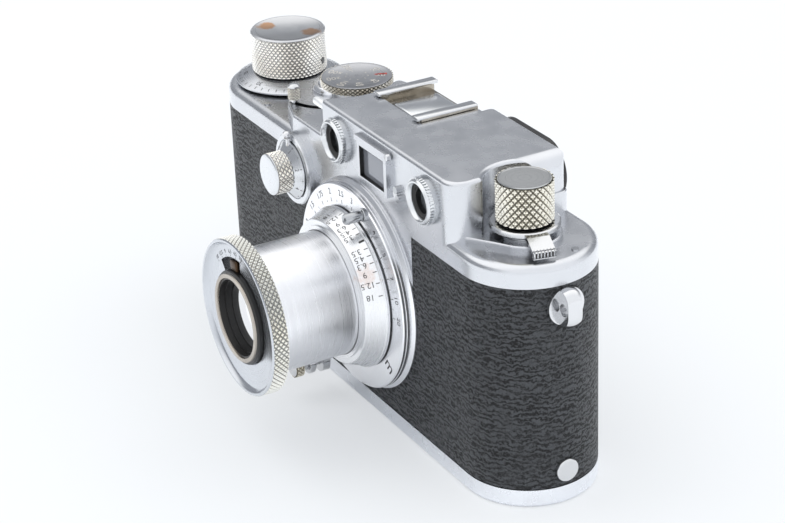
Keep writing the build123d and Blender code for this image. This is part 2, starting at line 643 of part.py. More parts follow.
VIEW_FRAME_X = 17.0
VIEW_FRAME_WIDTH = 14.0
with BuildPart() as viewfinder_frame:
    with BuildSketch(front_at(FRONT)):
        with Locations((VIEW_FRAME_X, 62.6)):
            Rectangle(VIEW_FRAME_WIDTH, 10.0)
        with Locations((VIEW_X, VIEW_Z)):
            Rectangle(VIEW_WIDTH - 0.6, VIEW_HEIGHT - 0.6, mode=Mode.SUBTRACT)
    extrude(amount=0.5)
    # raised bars over the top and down the right side
    with BuildSketch(front_at(FRONT - 0.5)):
        with Locations((VIEW_FRAME_X, 67.0)):
            Rectangle(VIEW_FRAME_WIDTH, 1.2)
        with Locations((VIEW_FRAME_X + VIEW_FRAME_WIDTH / 2 - 0.6, 62.4)):
            Rectangle(1.2, 9.6)
    extrude(amount=0.7)
    # dark tube behind the opening
    with BuildSketch(front_at(FRONT + 4.5)):
        with Locations((VIEW_X, VIEW_Z)):
            Rectangle(VIEW_WIDTH, VIEW_HEIGHT)
            Rectangle(VIEW_WIDTH - 0.6, VIEW_HEIGHT - 0.6, mode=Mode.SUBTRACT)
    extrude(amount=4.5)
finish(viewfinder_frame, "viewfinder_frame")

EYE_PLATE = 1.8
with BuildPart() as eyepiece_surround:
    middle = ((EYE_LEFT_X + EYE_RIGHT_X) / 2, EYE_Z)
    with BuildSketch(front_at(HOUSING_BACK + EYE_PLATE)):
        with Locations(middle):
            SlotCenterToCenter(EYE_RIGHT_X - EYE_LEFT_X, 2 * EYE_R)
        with Locations((middle[0], DECK_Z - 5)):
            Rectangle(60, 10.3, mode=Mode.SUBTRACT)
    extrude(amount=EYE_PLATE - 0.02)
    fillet(eyepiece_surround.edges().group_by(Axis.Y)[-1], 0.6)
    with BuildSketch(front_at(HOUSING_BACK + 0.02)):
        with Locations(middle):
            SlotCenterToCenter(EYE_RIGHT_X - EYE_LEFT_X, 7.8)
    extrude(amount=1.3)
    for x in (EYE_LEFT_X, EYE_RIGHT_X):
        disc(front_at(20), (x, EYE_Z), 2.4, 10, mode=Mode.SUBTRACT)
        disc(front_at(20), (x, EYE_Z), 4.6, 20 - HOUSING_BACK - 0.5, mode=Mode.SUBTRACT)
finish(eyepiece_surround, "eyepiece_surround")

with BuildPart() as window_glasses:
    for x in (WINDOW_LEFT_X, WINDOW_RIGHT_X):
        disc(front_at(-13.5), (x, WINDOW_Z), 3.55, 0.9)
    with BuildSketch(front_at(FRONT + 3.0)):
        with Locations((VIEW_X, VIEW_Z)):
            Rectangle(VIEW_WIDTH - 0.64, VIEW_HEIGHT - 0.64)
    extrude(amount=1.0)
    for x in (EYE_LEFT_X, EYE_RIGHT_X):
        disc(front_at(HOUSING_BACK + 0.3), (x, EYE_Z), 2.38, 1.0)
finish(window_glasses, "window_glasses")

with BuildPart() as rangefinder_block:
    with BuildSketch(Plane.XY.offset(COVER_BOTTOM + 4.2)):
        with Locations((19.5, 3.0)):
            Rectangle(46.0, 9.0)
    extrude(amount=1.0)
    for x, turn in ((WINDOW_LEFT_X + 1.0, 45), (WINDOW_RIGHT_X - 1.0, -45)):
        with BuildSketch(Plane.XY.offset(COVER_BOTTOM + 5.2)):
            with Locations(Location((x, 2.0, 0), (0, 0, turn))):
                Rectangle(7.0, 1.2)
        extrude(amount=8.4)
finish(rangefinder_block, "rangefinder_block")

ARM_PIVOT_X = 24.0
with BuildPart() as rangefinder_arm:
    disc(Plane.XY.offset(52.0), (ARM_PIVOT_X, 4.0), 2.4, 1.4)
    with BuildSketch(Plane.XY.offset(52.0)):
        with Locations((ARM_PIVOT_X - 6.0, 4.0)):
            SlotCenterToCenter(12.0, 3.0)
    extrude(amount=1.4)
    disc(Plane.XY.offset(51.0), (ARM_PIVOT_X - 12.0, 4.0), 1.5, 2.4)
finish(rangefinder_arm, "rangefinder_arm")

# ---------------------------------------------------------------- accessory shoe
SHOE_X = (SHOE_BED[0] + SHOE_BED[1]) / 2
SHOE_WALL = 0.8
SHOE_WIDTH = SHOE_BED[1] - SHOE_BED[0] - 0.8 - 2 * SHOE_WALL
SHOE_BACK = 11.1
SHOE_FRONT = SHOE_BED_FRONT + 0.15
SHOE_PLATE = 0.8
SHOE_GAP = 2.2
SHOE_LIP = 0.9
LIP_OVERHANG = 1.9
LIP_FRONT = -4.2
LIP_Z = SHOE_FLOOR + SHOE_PLATE + SHOE_GAP
with BuildPart() as accessory_shoe:
    with BuildSketch(Plane.XY.offset(SHOE_FLOOR)):
        with Locations((SHOE_X, (SHOE_BACK + SHOE_FRONT) / 2)):
            Rectangle(SHOE_WIDTH + 2 * SHOE_WALL, SHOE_BACK - SHOE_FRONT)
    extrude(amount=SHOE_PLATE)
    for side in (-1, 1):
        wall = SHOE_X + side * (SHOE_WIDTH + SHOE_WALL) / 2
        with BuildSketch(Plane.XY.offset(SHOE_FLOOR)):
            with Locations((wall, (SHOE_BACK + SHOE_FRONT) / 2)):
                Rectangle(SHOE_WALL, SHOE_BACK - SHOE_FRONT)
        extrude(amount=SHOE_PLATE + SHOE_GAP)
        outer = SHOE_X + side * (SHOE_WIDTH / 2 + SHOE_WALL)
        inner = outer - side * (SHOE_WALL + LIP_OVERHANG)
        with BuildSketch(Plane.XY.offset(LIP_Z)) as lip:
            with BuildLine():
                Polyline((outer, SHOE_BACK), (outer, LIP_FRONT + 2.6), (outer - side * 1.6, LIP_FRONT),
                         (inner, LIP_FRONT), (inner, SHOE_BACK), (outer, SHOE_BACK))
            make_face()
            round_corner(lip, (outer, LIP_FRONT + 2.6), 1.2)
            round_corner(lip, (outer - side * 1.6, LIP_FRONT), 1.2)
            round_corner(lip, (outer, SHOE_BACK), 0.9)
        extrude(amount=SHOE_LIP)
finish(accessory_shoe, "accessory_shoe")

SPRING_X = (2.6, 11.2)
with BuildPart() as shoe_spring:
    with BuildSketch(Plane.XZ.offset(-SHOE_BACK + 1.6)):
        with BuildLine():
            plate = SHOE_FLOOR + SHOE_PLATE
            middle = ((SPRING_X[0] + SPRING_X[1]) / 2, plate + 0.8)
            ends = [(x, plate + 0.5) for x in SPRING_X]
            Line((SPRING_X[0], plate), ends[0])
            ThreePointArc(ends[0], middle, ends[1])
            Line(ends[1], (SPRING_X[1], plate))
            Line((SPRING_X[1], plate), (SPRING_X[0], plate))
        make_face()
    extrude(amount=11.0)
finish(shoe_spring, "shoe_spring")

with BuildPart() as cover_screws:
    disc(front_at(FRONT - 0.02), (26.9, 59.6), 0.9, 0.8)
    disc(Plane.XY.offset(plate), (SPRING_X[1] + 1.6, SHOE_FRONT + 2.4), 1.0, 0.35)
    disc(Plane.XY.offset(plate), (SPRING_X[0] - 2.0, SHOE_FRONT + 2.4), 1.0, 0.35)
    disc(Plane.XY.offset(DECK_Z), (-41.0, -12.2), 0.8, 0.25)
    disc(Plane.XY.offset(DECK_Z), (64.0, 5.0), 0.8, 0.25)
finish(cover_screws, "cover_screws")

# ---------------------------------------------------------------- lens mount, fixed to the body
SHELL_FACE = FRONT + COVERING
with BuildPart() as lens_flange:
    turned([(THREAD_R + 0.03, SHELL_FACE), (FLANGE_R, SHELL_FACE), (FLANGE_R, -15.5), (FLANGE_R - 1.0, FLANGE_Y),
            (THREAD_R + 0.03, FLANGE_Y)])
    with BuildSketch(front_at(FLANGE_Y)):
        with Locations((LENS_X, LENS_Z)):
            with PolarLocations(21.3, 4, start_angle=45):
                Circle(1.2)
    extrude(amount=-0.8, mode=Mode.SUBTRACT)
finish(lens_flange, "lens_flange")

with BuildPart() as flange_screws:
    with BuildSketch(front_at(FLANGE_Y + 0.75)):
        with Locations((LENS_X, LENS_Z)):
            with PolarLocations(21.3, 4, start_angle=45):
                Circle(1.15)
    extrude(amount=0.65)
finish(flange_screws, "flange_screws")

with BuildPart() as distance_ring:
    turned([(TAIL_R, -8.0), (THREAD_R, -8.0), (THREAD_R, FLANGE_Y - 0.02), (SCALE_R - 0.3, FLANGE_Y - 0.02),
            (SCALE_R, -16.5), (SCALE_R, SCALE_Y + 0.3), (SCALE_R - 0.3, SCALE_Y), (TAIL_R, SCALE_Y)])
finish(distance_ring, "distance_ring")

STOP_R = 21.7
with BuildPart() as focus_stop_pin:
    stop = around(LENS_X, STOP_R, 69.5)
    disc(front_at(SCALE_Y), (stop[0], LENS_Z + stop[1]), 1.1, 4.6)
    chamfer(focus_stop_pin.edges().group_by(Axis.Y)[0], 0.2)
finish(focus_stop_pin, "focus_stop_pin")

# ---------------------------------------------------------------- focusing mount, turning and sliding
with BuildPart() as cam_ring:
    turned([(14.6, -4.0), (16.9, -4.0), (16.9, -1.4), (14.6, -1.4)])
finish(cam_ring, "cam_ring")

LEVER_TURN = 242.0
with BuildPart() as depth_ring:
    turned([(FOCUS_BORE, -4.3), (TAIL_R - 0.1, -4.3), (TAIL_R - 0.1, -18.45), (18.4, -18.45), (18.4, -19.2),
            (18.1, -19.3), (16.4, -23.5), (15.1, -23.5), (15.1, DEPTH_RING_Y), (FOCUS_BORE, DEPTH_RING_Y)])
finish(depth_ring, "depth_ring")

BUTTON_AT = 26.6
with BuildPart() as focus_lever:
    knob = around(LENS_X, BUTTON_AT, LEVER_TURN)
    with BuildSketch(front_at(-19.4)):
        middle = around(LENS_X, 22.9, LEVER_TURN)
        with Locations(Location((middle[0], LENS_Z + middle[1], 0), (0, 0, LEVER_TURN))):
            Rectangle(9.0, 4.2)
        with Locations((LENS_X, LENS_Z)):
            Circle(18.15, mode=Mode.SUBTRACT)
        with Locations((knob[0], LENS_Z + knob[1])):
            Circle(2.7)
            Circle(1.05, mode=Mode.SUBTRACT)
    extrude(amount=1.8)
finish(focus_lever, "focus_lever")

with BuildPart() as focus_button:
    turned([(0, -18.9), (1.0, -18.9), (1.0, -22.8), (2.5, -22.8), (2.5, -24.4), (1.5, -24.6), (1.5, -25.6),
            (2.5, -25.8), (2.5, -27.8), (2.2, -28.1), (0, -28.1)], knob[0], LENS_Z + knob[1])
finish(focus_button, "focus_button")

# ---------------------------------------------------------------- collapsible tube and optics
with BuildPart() as lens_tube:
    turned([(TUBE_R - TUBE_WALL, TUBE_BACK), (TUBE_R, TUBE_BACK), (TUBE_R, TUBE_FRONT),
            (TUBE_R - TUBE_WALL, TUBE_FRONT)])
finish(lens_tube, "lens_tube")

RECESS_START = 86.0
RECESS_SWEEP = 44.0
RECESS_R = 13.4
with BuildPart() as front_ring:
    turned([(IRIS_RING_R + 0.1, TUBE_FRONT - 1.0), (TUBE_R - TUBE_WALL, TUBE_FRONT - 1.0),
            (TUBE_R - TUBE_WALL, TUBE_FRONT), (RING_R - 0.3, TUBE_FRONT), (RING_R, TUBE_FRONT - 0.3),
            (RING_R, RING_FRONT + 0.3), (RING_R - 0.3, RING_FRONT), (RING_R - 0.8, RING_FRONT),
            (RING_R - 1.3, DISH_Y - 0.3), (DISH_R, DISH_Y), (DISH_R, DISH_Y + 0.6), (IRIS_RING_R + 0.1, DISH_Y + 0.6)])
    # recess in which the aperture lever travels
    with BuildSketch(front_at(DISH_Y + 1.2)) as recess:
        with BuildLine():
            CenterArc((LENS_X, LENS_Z), RECESS_R, RECESS_START, RECESS_SWEEP)
            CenterArc((LENS_X, LENS_Z), 8.0, RECESS_START, RECESS_SWEEP)
            Line(tuple(around(LENS_X, 8.0, RECESS_START)[i] + (0, LENS_Z)[i] for i in (0, 1)),
                 tuple(around(LENS_X, RECESS_R, RECESS_START)[i] + (0, LENS_Z)[i] for i in (0, 1)))
            Line(tuple(around(LENS_X, 8.0, RECESS_START + RECESS_SWEEP)[i] + (0, LENS_Z)[i] for i in (0, 1)),
                 tuple(around(LENS_X, RECESS_R, RECESS_START + RECESS_SWEEP)[i] + (0, LENS_Z)[i] for i in (0, 1)))
        make_face()
    extrude(amount=4, mode=Mode.SUBTRACT)
finish(front_ring, "front_ring")

IRIS_RING_Y = -46.7
TAB_TURN = 98.0
with BuildPart() as aperture_ring:
    turned([(CELL_R + 0.1, DISH_Y + 0.9), (IRIS_RING_R, DISH_Y + 0.9), (IRIS_RING_R, IRIS_RING_Y + 0.3),
            (IRIS_RING_R - 0.3, IRIS_RING_Y), (CELL_R + 0.1, IRIS_RING_Y + 0.2)])
    with BuildSketch(front_at(DISH_Y + 0.8)):
        tab = around(LENS_X, IRIS_RING_R + 1.0, TAB_TURN)
        with Locations(Location((tab[0], LENS_Z + tab[1], 0), (0, 0, TAB_TURN))):
            RectangleRounded(2.8, 2.4, 0.5)
    extrude(amount=1.1)
finish(aperture_ring, "aperture_ring")

with BuildPart() as lens_cell:
    turned([(CELL_R - 1.6, -34.0), (12.6, -34.0), (12.6, TUBE_FRONT - 0.95), (CELL_R, TUBE_FRONT - 0.95),
            (CELL_R, -46.3), (CELL_R - 0.4, -46.3), (CELL_R - 0.6, -45.0), (CELL_R - 1.0, -45.0),
            (CELL_R - 1.2, -43.6), (CELL_R - 1.6, -43.6), (CELL_R - 1.8, -42.2), (GLASS_R, -42.0),
            (GLASS_R, -36.0), (CELL_R - 1.6, -36.0)])
finish(lens_cell, "lens_cell")


def lens_element(front_y, back_y, radius, front_sphere, back_sphere):
    """A round glass element turned about the lens axis, with a bulging front and back."""
    def sag(sphere, reach):
        return sphere - math.sqrt(sphere ** 2 - reach ** 2)
    with BuildSketch(Plane(origin=(LENS_X, 0, LENS_Z), x_dir=(1, 0, 0), z_dir=(0, 0, 1))) as profile:
        with BuildLine():
            front_rim = (radius, front_y + sag(front_sphere, radius))
            back_rim = (radius, back_y - sag(back_sphere, radius))
            ThreePointArc((0, front_y), (radius / 2, front_y + sag(front_sphere, radius / 2)), front_rim)
            Line(front_rim, back_rim)
            ThreePointArc(back_rim, (radius / 2, back_y - sag(back_sphere, radius / 2)), (0, back_y))
            Line((0, back_y), (0, front_y))
        make_face()
    revolve(profile.sketch, axis=Axis((LENS_X, 0, LENS_Z), (0, 1, 0)))


with BuildPart() as front_element:
    lens_element(-41.9, -37.6, GLASS_R - 0.05, 16.0, 60.0)
finish(front_element, "front_element")

with BuildPart() as middle_element:
    disc(front_at(-32.4), (LENS_X, LENS_Z), 6.0, 1.0)
    with Locations((LENS_X, -33.4 - 17.6, LENS_Z)):
        Sphere(18.0, mode=Mode.SUBTRACT)
finish(middle_element, "middle_element")

with BuildPart() as rear_element:
    lens_element(-31.0, -28.0, 6.0, 60.0, 18.0)
finish(rear_element, "rear_element")

with BuildPart() as rear_cell:
    turned([(6.05, -27.6), (TUBE_R - TUBE_WALL - 0.02, -27.6), (TUBE_R - TUBE_WALL - 0.02, -33.8),
            (6.05, -33.8)])
finish(rear_cell, "rear_cell")

with BuildPart() as iris_blades:
    for count in range(8):
        turn = count * 45.0
        middle = around(LENS_X, 4.7, turn)
        with BuildSketch(front_at(-34.6 - count * 0.13)):
            with Locations((LENS_X, LENS_Z)):
                Circle(7.2)
                Circle(4.4, mode=Mode.SUBTRACT)
            with Locations((LENS_X + (middle[0] - LENS_X), LENS_Z + middle[1])):
                Circle(4.4, mode=Mode.INTERSECT)
        extrude(amount=0.1)
finish(iris_blades, "iris_blades")
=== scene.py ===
import bpy
import math
from mathutils import Matrix, Vector


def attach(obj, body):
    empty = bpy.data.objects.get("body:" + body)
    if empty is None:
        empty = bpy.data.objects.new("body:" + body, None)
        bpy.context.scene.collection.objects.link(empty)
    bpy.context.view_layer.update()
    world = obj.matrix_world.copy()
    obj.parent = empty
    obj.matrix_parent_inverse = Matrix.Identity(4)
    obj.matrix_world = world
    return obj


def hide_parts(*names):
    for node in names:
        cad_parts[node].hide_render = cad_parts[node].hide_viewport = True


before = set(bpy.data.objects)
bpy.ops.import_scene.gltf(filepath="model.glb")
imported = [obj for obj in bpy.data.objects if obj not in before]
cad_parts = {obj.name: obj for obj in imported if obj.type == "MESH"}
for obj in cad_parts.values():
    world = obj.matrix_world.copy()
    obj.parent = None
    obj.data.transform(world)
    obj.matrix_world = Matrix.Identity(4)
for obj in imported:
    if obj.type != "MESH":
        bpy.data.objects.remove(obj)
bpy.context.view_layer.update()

# ---- viewpoint
# A long lens from the front right, looking down on the rangefinder camera with a slight roll.
# Distances are in metres and angles in degrees.
VIEW_AZIMUTH, VIEW_ELEVATION, VIEW_ROLL = 61.794, 26.133, -2.367
VIEW_DISTANCE = 0.52834
VIEW_SHIFT = (-0.00228, -0.001325)
FOCAL_LENGTH, FILM_WIDTH = 106.29, 36
LOOK_AT = Vector((0, 0, 0.030))
turn, tilt, roll = (math.radians(angle) for angle in (VIEW_AZIMUTH, VIEW_ELEVATION, VIEW_ROLL))
back = Vector((math.sin(turn) * math.cos(tilt), -math.cos(turn) * math.cos(tilt), math.sin(tilt)))
level = Vector((math.cos(turn), math.sin(turn), 0))
upright = back.cross(level)
right = math.cos(roll) * level + math.sin(roll) * upright
up = back.cross(right)
lens = bpy.data.cameras.new("camera")
lens.sensor_width = FILM_WIDTH
lens.lens = FOCAL_LENGTH
lens.clip_start, lens.clip_end = 0.01, 20
viewer = bpy.data.objects.new("camera", lens)
bpy.context.collection.objects.link(viewer)
viewer.matrix_world = Matrix.Translation(
    LOOK_AT + VIEW_SHIFT[0] * right + VIEW_SHIFT[1] * up + VIEW_DISTANCE * back
) @ Matrix((right, up, back)).transposed().to_4x4()
bpy.context.scene.camera = viewer
bpy.context.scene.view_settings.view_transform = "Standard"


# ---- studio floor and light
# A sweep of white seamless paper under three large soft boxes. The room that the chrome mirrors is dim at
# eye level, mid grey above that and white overhead.
def add(tree, kind, links=(), **settings):
    """Adds a shader node, sets its properties, and fills its inputs with values or sockets."""
    made = tree.nodes.new("ShaderNode" + kind)
    for name, value in settings.items():
        setattr(made, name, value)
    for socket, value in dict(links).items():
        if isinstance(value, bpy.types.NodeSocket):
            tree.links.new(value, made.inputs[socket])
        else:
            made.inputs[socket].default_value = value
    return made


def linear(code):
    """A linear colour from an sRGB hex value."""
    parts = [int(code[i:i + 2], 16) / 255 for i in (1, 3, 5)]
    return [c / 12.92 if c <= 0.04045 else ((c + 0.055) / 1.055) ** 2.4 for c in parts] + [1]


def blank(name):
    """A material with an empty node tree and its output."""
    material = bpy.data.materials.new(name)
    material.use_nodes = True
    material.node_tree.nodes.clear()
    return material, material.node_tree, add(material.node_tree, "OutputMaterial")


def deselect():
    """Leaves nothing selected."""
    for other in bpy.context.selected_objects:
        other.select_set(False)


deselect()
bpy.ops.mesh.primitive_plane_add(size=6)
floor = bpy.context.object
floor.name = "floor"
# Seamless paper: near white to the viewer, with half of its shading left so that it keeps the shadow.
PAPER_WHITE = "#f7f9fc"
paper, tree, output = blank("seamless_paper")
seen = add(tree, "LightPath")
shaded = add(tree, "BsdfDiffuse", {"Color": linear("#eef0f2")})
dimmed = add(tree, "BsdfDiffuse", {"Color": linear("#d6d9db")})
glow = add(tree, "Emission", {"Color": linear(PAPER_WHITE), "Strength": 1.0})
half = add(tree, "MixShader", {0: 0.5, 1: dimmed.outputs[0], 2: glow.outputs[0]})
paper_mix = add(tree, "MixShader", {0: seen.outputs["Is Camera Ray"], 1: shaded.outputs[0],
                                    2: half.outputs[0]})
tree.links.new(paper_mix.outputs[0], output.inputs[0])
floor.data.materials.append(paper)

world = bpy.data.worlds.new("studio")
bpy.context.scene.world = world
world.use_nodes = True
tree = world.node_tree
tree.nodes.clear()
where = add(tree, "TexCoord")
height = add(tree, "SeparateXYZ", {0: where.outputs["Generated"]})
ramp = add(tree, "ValToRGB", {0: height.outputs["Z"]})
ramp.color_ramp.elements[0].position = 0.0
ramp.color_ramp.elements[0].color = linear("#54575b")
ramp.color_ramp.elements[1].position = 0.60
ramp.color_ramp.elements[1].color = linear("#ffffff")
for position, colour in ((0.06, "#787a7f"), (0.18, "#94979c"), (0.34, "#878a8f"), (0.47, "#8a8d92")):
    ramp.color_ramp.elements.new(position).color = linear(colour)
# the room is lighter on the right, where the window is
window_side = add(tree, "MapRange", {0: height.outputs["X"], 1: -0.1, 2: 0.5, 3: 0.0, 4: 1.0})
lit = add(tree, "MixRGB", {0: window_side.outputs[0], 1: ramp.outputs[0], 2: linear("#e8eaed")})
seen = add(tree, "LightPath")
room = add(tree, "Background", {"Color": lit.outputs[0], "Strength": 1.6})
paper_white = add(tree, "Background", {"Color": linear(PAPER_WHITE), "Strength": 1.0})
both = add(tree, "MixShader", {0: seen.outputs["Is Camera Ray"], 1: room.outputs[0],
                               2: paper_white.outputs[0]})
tree.links.new(both.outputs[0], add(tree, "OutputWorld").inputs[0])

for name, place, size, power in (
    ("key_softbox", (-0.45, -0.35, 0.85), 0.8, 2.6),
    ("side_softbox", (0.8, -0.1, 0.65), 0.8, 1.3),
    ("back_softbox", (0.1, 0.7, 0.8), 0.8, 1.3),
):
    lamp = bpy.data.lights.new(name, "AREA")
    lamp.shape = "SQUARE"
    lamp.size = size
    lamp.energy = power
    holder = bpy.data.objects.new(name, lamp)
    bpy.context.collection.objects.link(holder)
    holder.location = place
    holder.visible_glossy = False
    holder.rotation_euler = (Vector(place) - LOOK_AT).to_track_quat("Z", "Y").to_euler()


# ---- covering
# Black hard rubber, moulded with a leather-like wrinkle and stuck round the body. It is cut out for the lens
# flange, the dials and the lugs.
MM = 0.001


def patchy(tree, vector, low, high, **noise):
    """A noise mapped to the range low to high."""
    cloud = add(tree, "TexNoise", {"Vector": vector, **noise})
    return add(tree, "MapRange", {0: cloud.outputs[0], 1: 0.3, 2: 0.7, 3: low, 4: high}).outputs[0]


# Moulded hard rubber: charcoal wrinkles running round the body, with a fine grain between them and a dull
# sheen on their backs. Shade is painted into them: the creases near black and matt, the wrinkle backs
# lighter.
WRINKLES = 250.0        # one wrinkle every 1.26 mm
GRAINS = 1500.0         # grains of 0.67 mm
RELIEF = 0.0007         # deeper than the real wrinkles, which would not show
vulcanite, tree, output = blank("vulcanite")
point = add(tree, "TexCoord").outputs["Object"]
stretched = add(tree, "VectorMath", {0: point, 1: (0.8, 0.8, 1.0)}, operation="MULTIPLY")
wrinkles = add(tree, "TexWave", {"Vector": stretched.outputs[0], "Scale": WRINKLES, "Distortion": 13.0,
                                 "Detail": 4.0, "Detail Scale": 1.9, "Detail Roughness": 0.7},
               wave_type="BANDS", bands_direction="Z")
grain = add(tree, "TexNoise", {"Vector": point, "Scale": GRAINS, "Detail": 3.0, "Roughness": 0.7})
broken = patchy(tree, point, 0.4, 0.85, Scale=150.0, Detail=3.0)
relief = add(tree, "MixRGB", {0: broken, 1: wrinkles.outputs["Fac"], 2: grain.outputs[0]})
bump = add(tree, "Bump", {"Height": relief.outputs[0], "Strength": 1.0, "Distance": RELIEF})
# painted shade: the colour runs from near black in the creases to a lighter grey on the wrinkle backs,
# standing in for the shade of the relief
crease_shade_ramp = add(tree, "ValToRGB", {0: relief.outputs[0]})
crease_shade_ramp.color_ramp.elements[0].position = 0.30
crease_shade_ramp.color_ramp.elements[0].color = linear("#050506")
crease_shade_ramp.color_ramp.elements[1].position = 0.72
crease_shade_ramp.color_ramp.elements[1].color = linear("#3b3e42")
crease_shade_ramp.color_ramp.elements.new(0.46).color = linear("#26282b")
skin = add(tree, "BsdfPrincipled", {"Base Color": crease_shade_ramp.outputs[0], "Roughness": 0.42,
                                    "Normal": bump.outputs[0]})
# painted shadow: a matt near-black shader laid into the creases, with no shine there
painted_crease_shadow = add(tree, "BsdfDiffuse", {"Color": linear("#1c1d1f")})
painted_shade_mask = add(tree, "MapRange", {0: relief.outputs[0], 1: 0.30, 2: 0.56, 3: 0.5, 4: 1.0})
rubber = add(tree, "MixShader", {0: painted_shade_mask.outputs[0], 1: painted_crease_shadow.outputs[0], 2: skin.outputs[0]})
tree.links.new(rubber.outputs[0], output.inputs[0])


def dress(node, material):
    """Gives a CAD node its material."""
    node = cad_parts[node]
    node.data.materials.clear()
    node.data.materials.append(material)


dress("covering", vulcanite)


# ---- top cover and base plate
# Brass pressings, satin chrome plated: the cover in one piece with its rangefinder housing and apron, held by
# screws, and the base plate, which hooks on at one end and locks with a key at the other.
def plated(name, colour, rough, mottle=0.03, grain_mm=0.12, grain=0.05, stain="#8d8980", stained=0.0):
    """A plated metal with uneven polish, a fine blasted grain, and a faint stain in patches."""
    material, tree, output = blank(name)
    point = add(tree, "TexCoord").outputs["Object"]
    value = patchy(tree, point, 1 - mottle, 1 + mottle, Scale=70.0, Detail=5.0)
    tint = add(tree, "HueSaturation", {"Color": linear(colour), "Value": value})
    patch = patchy(tree, point, 0.0, stained, Scale=45.0, Detail=8.0, Roughness=0.7)
    dull = add(tree, "MixRGB", {0: patch, 1: tint.outputs[0], 2: linear(stain)})
    polish = patchy(tree, point, rough * 0.85, rough * 1.2, Scale=160.0, Detail=4.0)
    fine = add(tree, "TexNoise", {"Vector": point, "Scale": 1000 / grain_mm, "Detail": 1.0})
    bump = add(tree, "Bump", {"Height": fine.outputs[0], "Strength": grain, "Distance": 0.00005})
    skin = add(tree, "BsdfPrincipled", {"Base Color": dull.outputs[0], "Metallic": 1.0, "Roughness": polish,
                                        "Normal": bump.outputs[0]})
    tree.links.new(skin.outputs[0], output.inputs[0])
    return material


def turned_point(centre, axis, across, over, height):
    """A point in metres, from millimetres across and over a piece's axis and height along it."""
    x, other, along = (centre[0] + across) * MM, (centre[1] + over) * MM, height * MM
    return (x, other, along) if axis == "z" else (x, along, other)


def turned_metal(name, colour, rough, centre, axis, ring_mm=0.25, grain=0.25, mottle=0.03):
    """A lathe-turned metal: fine tool rings about its axis that draw the light into a fan."""
    material, tree, output = blank(name)
    point = add(tree, "TexCoord").outputs["Object"]
    axle, keep = ((0, 0, 1), (1, 1, 0)) if axis == "z" else ((0, 1, 0), (1, 0, 1))
    from_axis = add(tree, "VectorMath", {0: point, 1: turned_point(centre, axis, 0, 0, 0)},
                    operation="SUBTRACT")
    flattened = add(tree, "VectorMath", {0: from_axis.outputs[0], 1: keep}, operation="MULTIPLY")
    radius = add(tree, "VectorMath", {0: flattened.outputs[0]}, operation="LENGTH")
    along = add(tree, "VectorMath", {0: point, 1: axle}, operation="DOT_PRODUCT")
    both = add(tree, "CombineXYZ", {"X": radius.outputs["Value"], "Y": along.outputs["Value"]})
    rings = add(tree, "TexNoise", {"Vector": both.outputs[0], "Scale": 1000 / ring_mm, "Detail": 3.0})
    bump = add(tree, "Bump", {"Height": rings.outputs[0], "Strength": grain, "Distance": 0.00006})
    value = patchy(tree, point, 1 - mottle, 1 + mottle, Scale=120.0, Detail=5.0)
    tint = add(tree, "HueSaturation", {"Color": linear(colour), "Value": value})
    polish = add(tree, "MapRange", {0: rings.outputs[0], 1: 0.3, 2: 0.7, 3: rough * 0.8, 4: rough * 1.25})
    skin = add(tree, "BsdfPrincipled", {"Base Color": tint.outputs[0], "Metallic": 1.0,
                                        "Roughness": polish.outputs[0], "Normal": bump.outputs[0]})
    tree.links.new(skin.outputs[0], output.inputs[0])
    return material


# Satin chrome plate: cool pearl grey, softly blurred reflections, faint handling marks.
satin_chrome = plated("satin_chrome_plate", "#c9cbcf", 0.26, grain=0.02, stained=0.08)
dress("top_cover", satin_chrome)
# The same plating on the base plate, without the handling marks; its colour is painted lighter than the
# cover's, as painted light over the whole plate.
base_chrome_painted_lighter = plated("base_plate_painted_lighter", "#e6e8ec", 0.26)
dress("base_plate", base_chrome_painted_lighter)
dress("tripod_bush", satin_chrome)
# Polished nickel silver of small fittings: a neutral grey that mirrors more sharply than the satin plate.
bright_nickel = plated("bright_nickel_silver", "#cfd0d2", 0.15, mottle=0.03, grain=0.02, stained=0.1)
# Bare steel of pins and screws: darker than the plating round them.
pin_steel = plated("bare_pin_steel", "#aeb0b3", 0.16, mottle=0.08)
# Black lacquer on brass, inside the windows and the lens: a soft black that rubs to brown.
black_lacquer, tree, output = blank("black_lacquer")
worn = patchy(tree, add(tree, "TexCoord").outputs["Object"], 0.0, 0.25, Scale=400.0, Detail=6.0)
shade = add(tree, "MixRGB", {0: worn, 1: linear("#0c0c0d"), 2: linear("#2a2724")})
skin = add(tree, "BsdfPrincipled", {"Base Color": shade.outputs[0], "Roughness": 0.38})
tree.links.new(skin.outputs[0], output.inputs[0])
# Black paint in the engraving: matt, slightly worn to grey.
engraving, tree, output = blank("black_engraving_paint")
worn = patchy(tree, add(tree, "TexCoord").outputs["Object"], 0.0, 0.5, Scale=900.0, Detail=4.0)
shade = add(tree, "MixRGB", {0: worn, 1: linear("#141414"), 2: linear("#4a4a4a")})
skin = add(tree, "BsdfPrincipled", {"Base Color": shade.outputs[0], "Roughness": 0.6})
tree.links.new(skin.outputs[0], output.inputs[0])


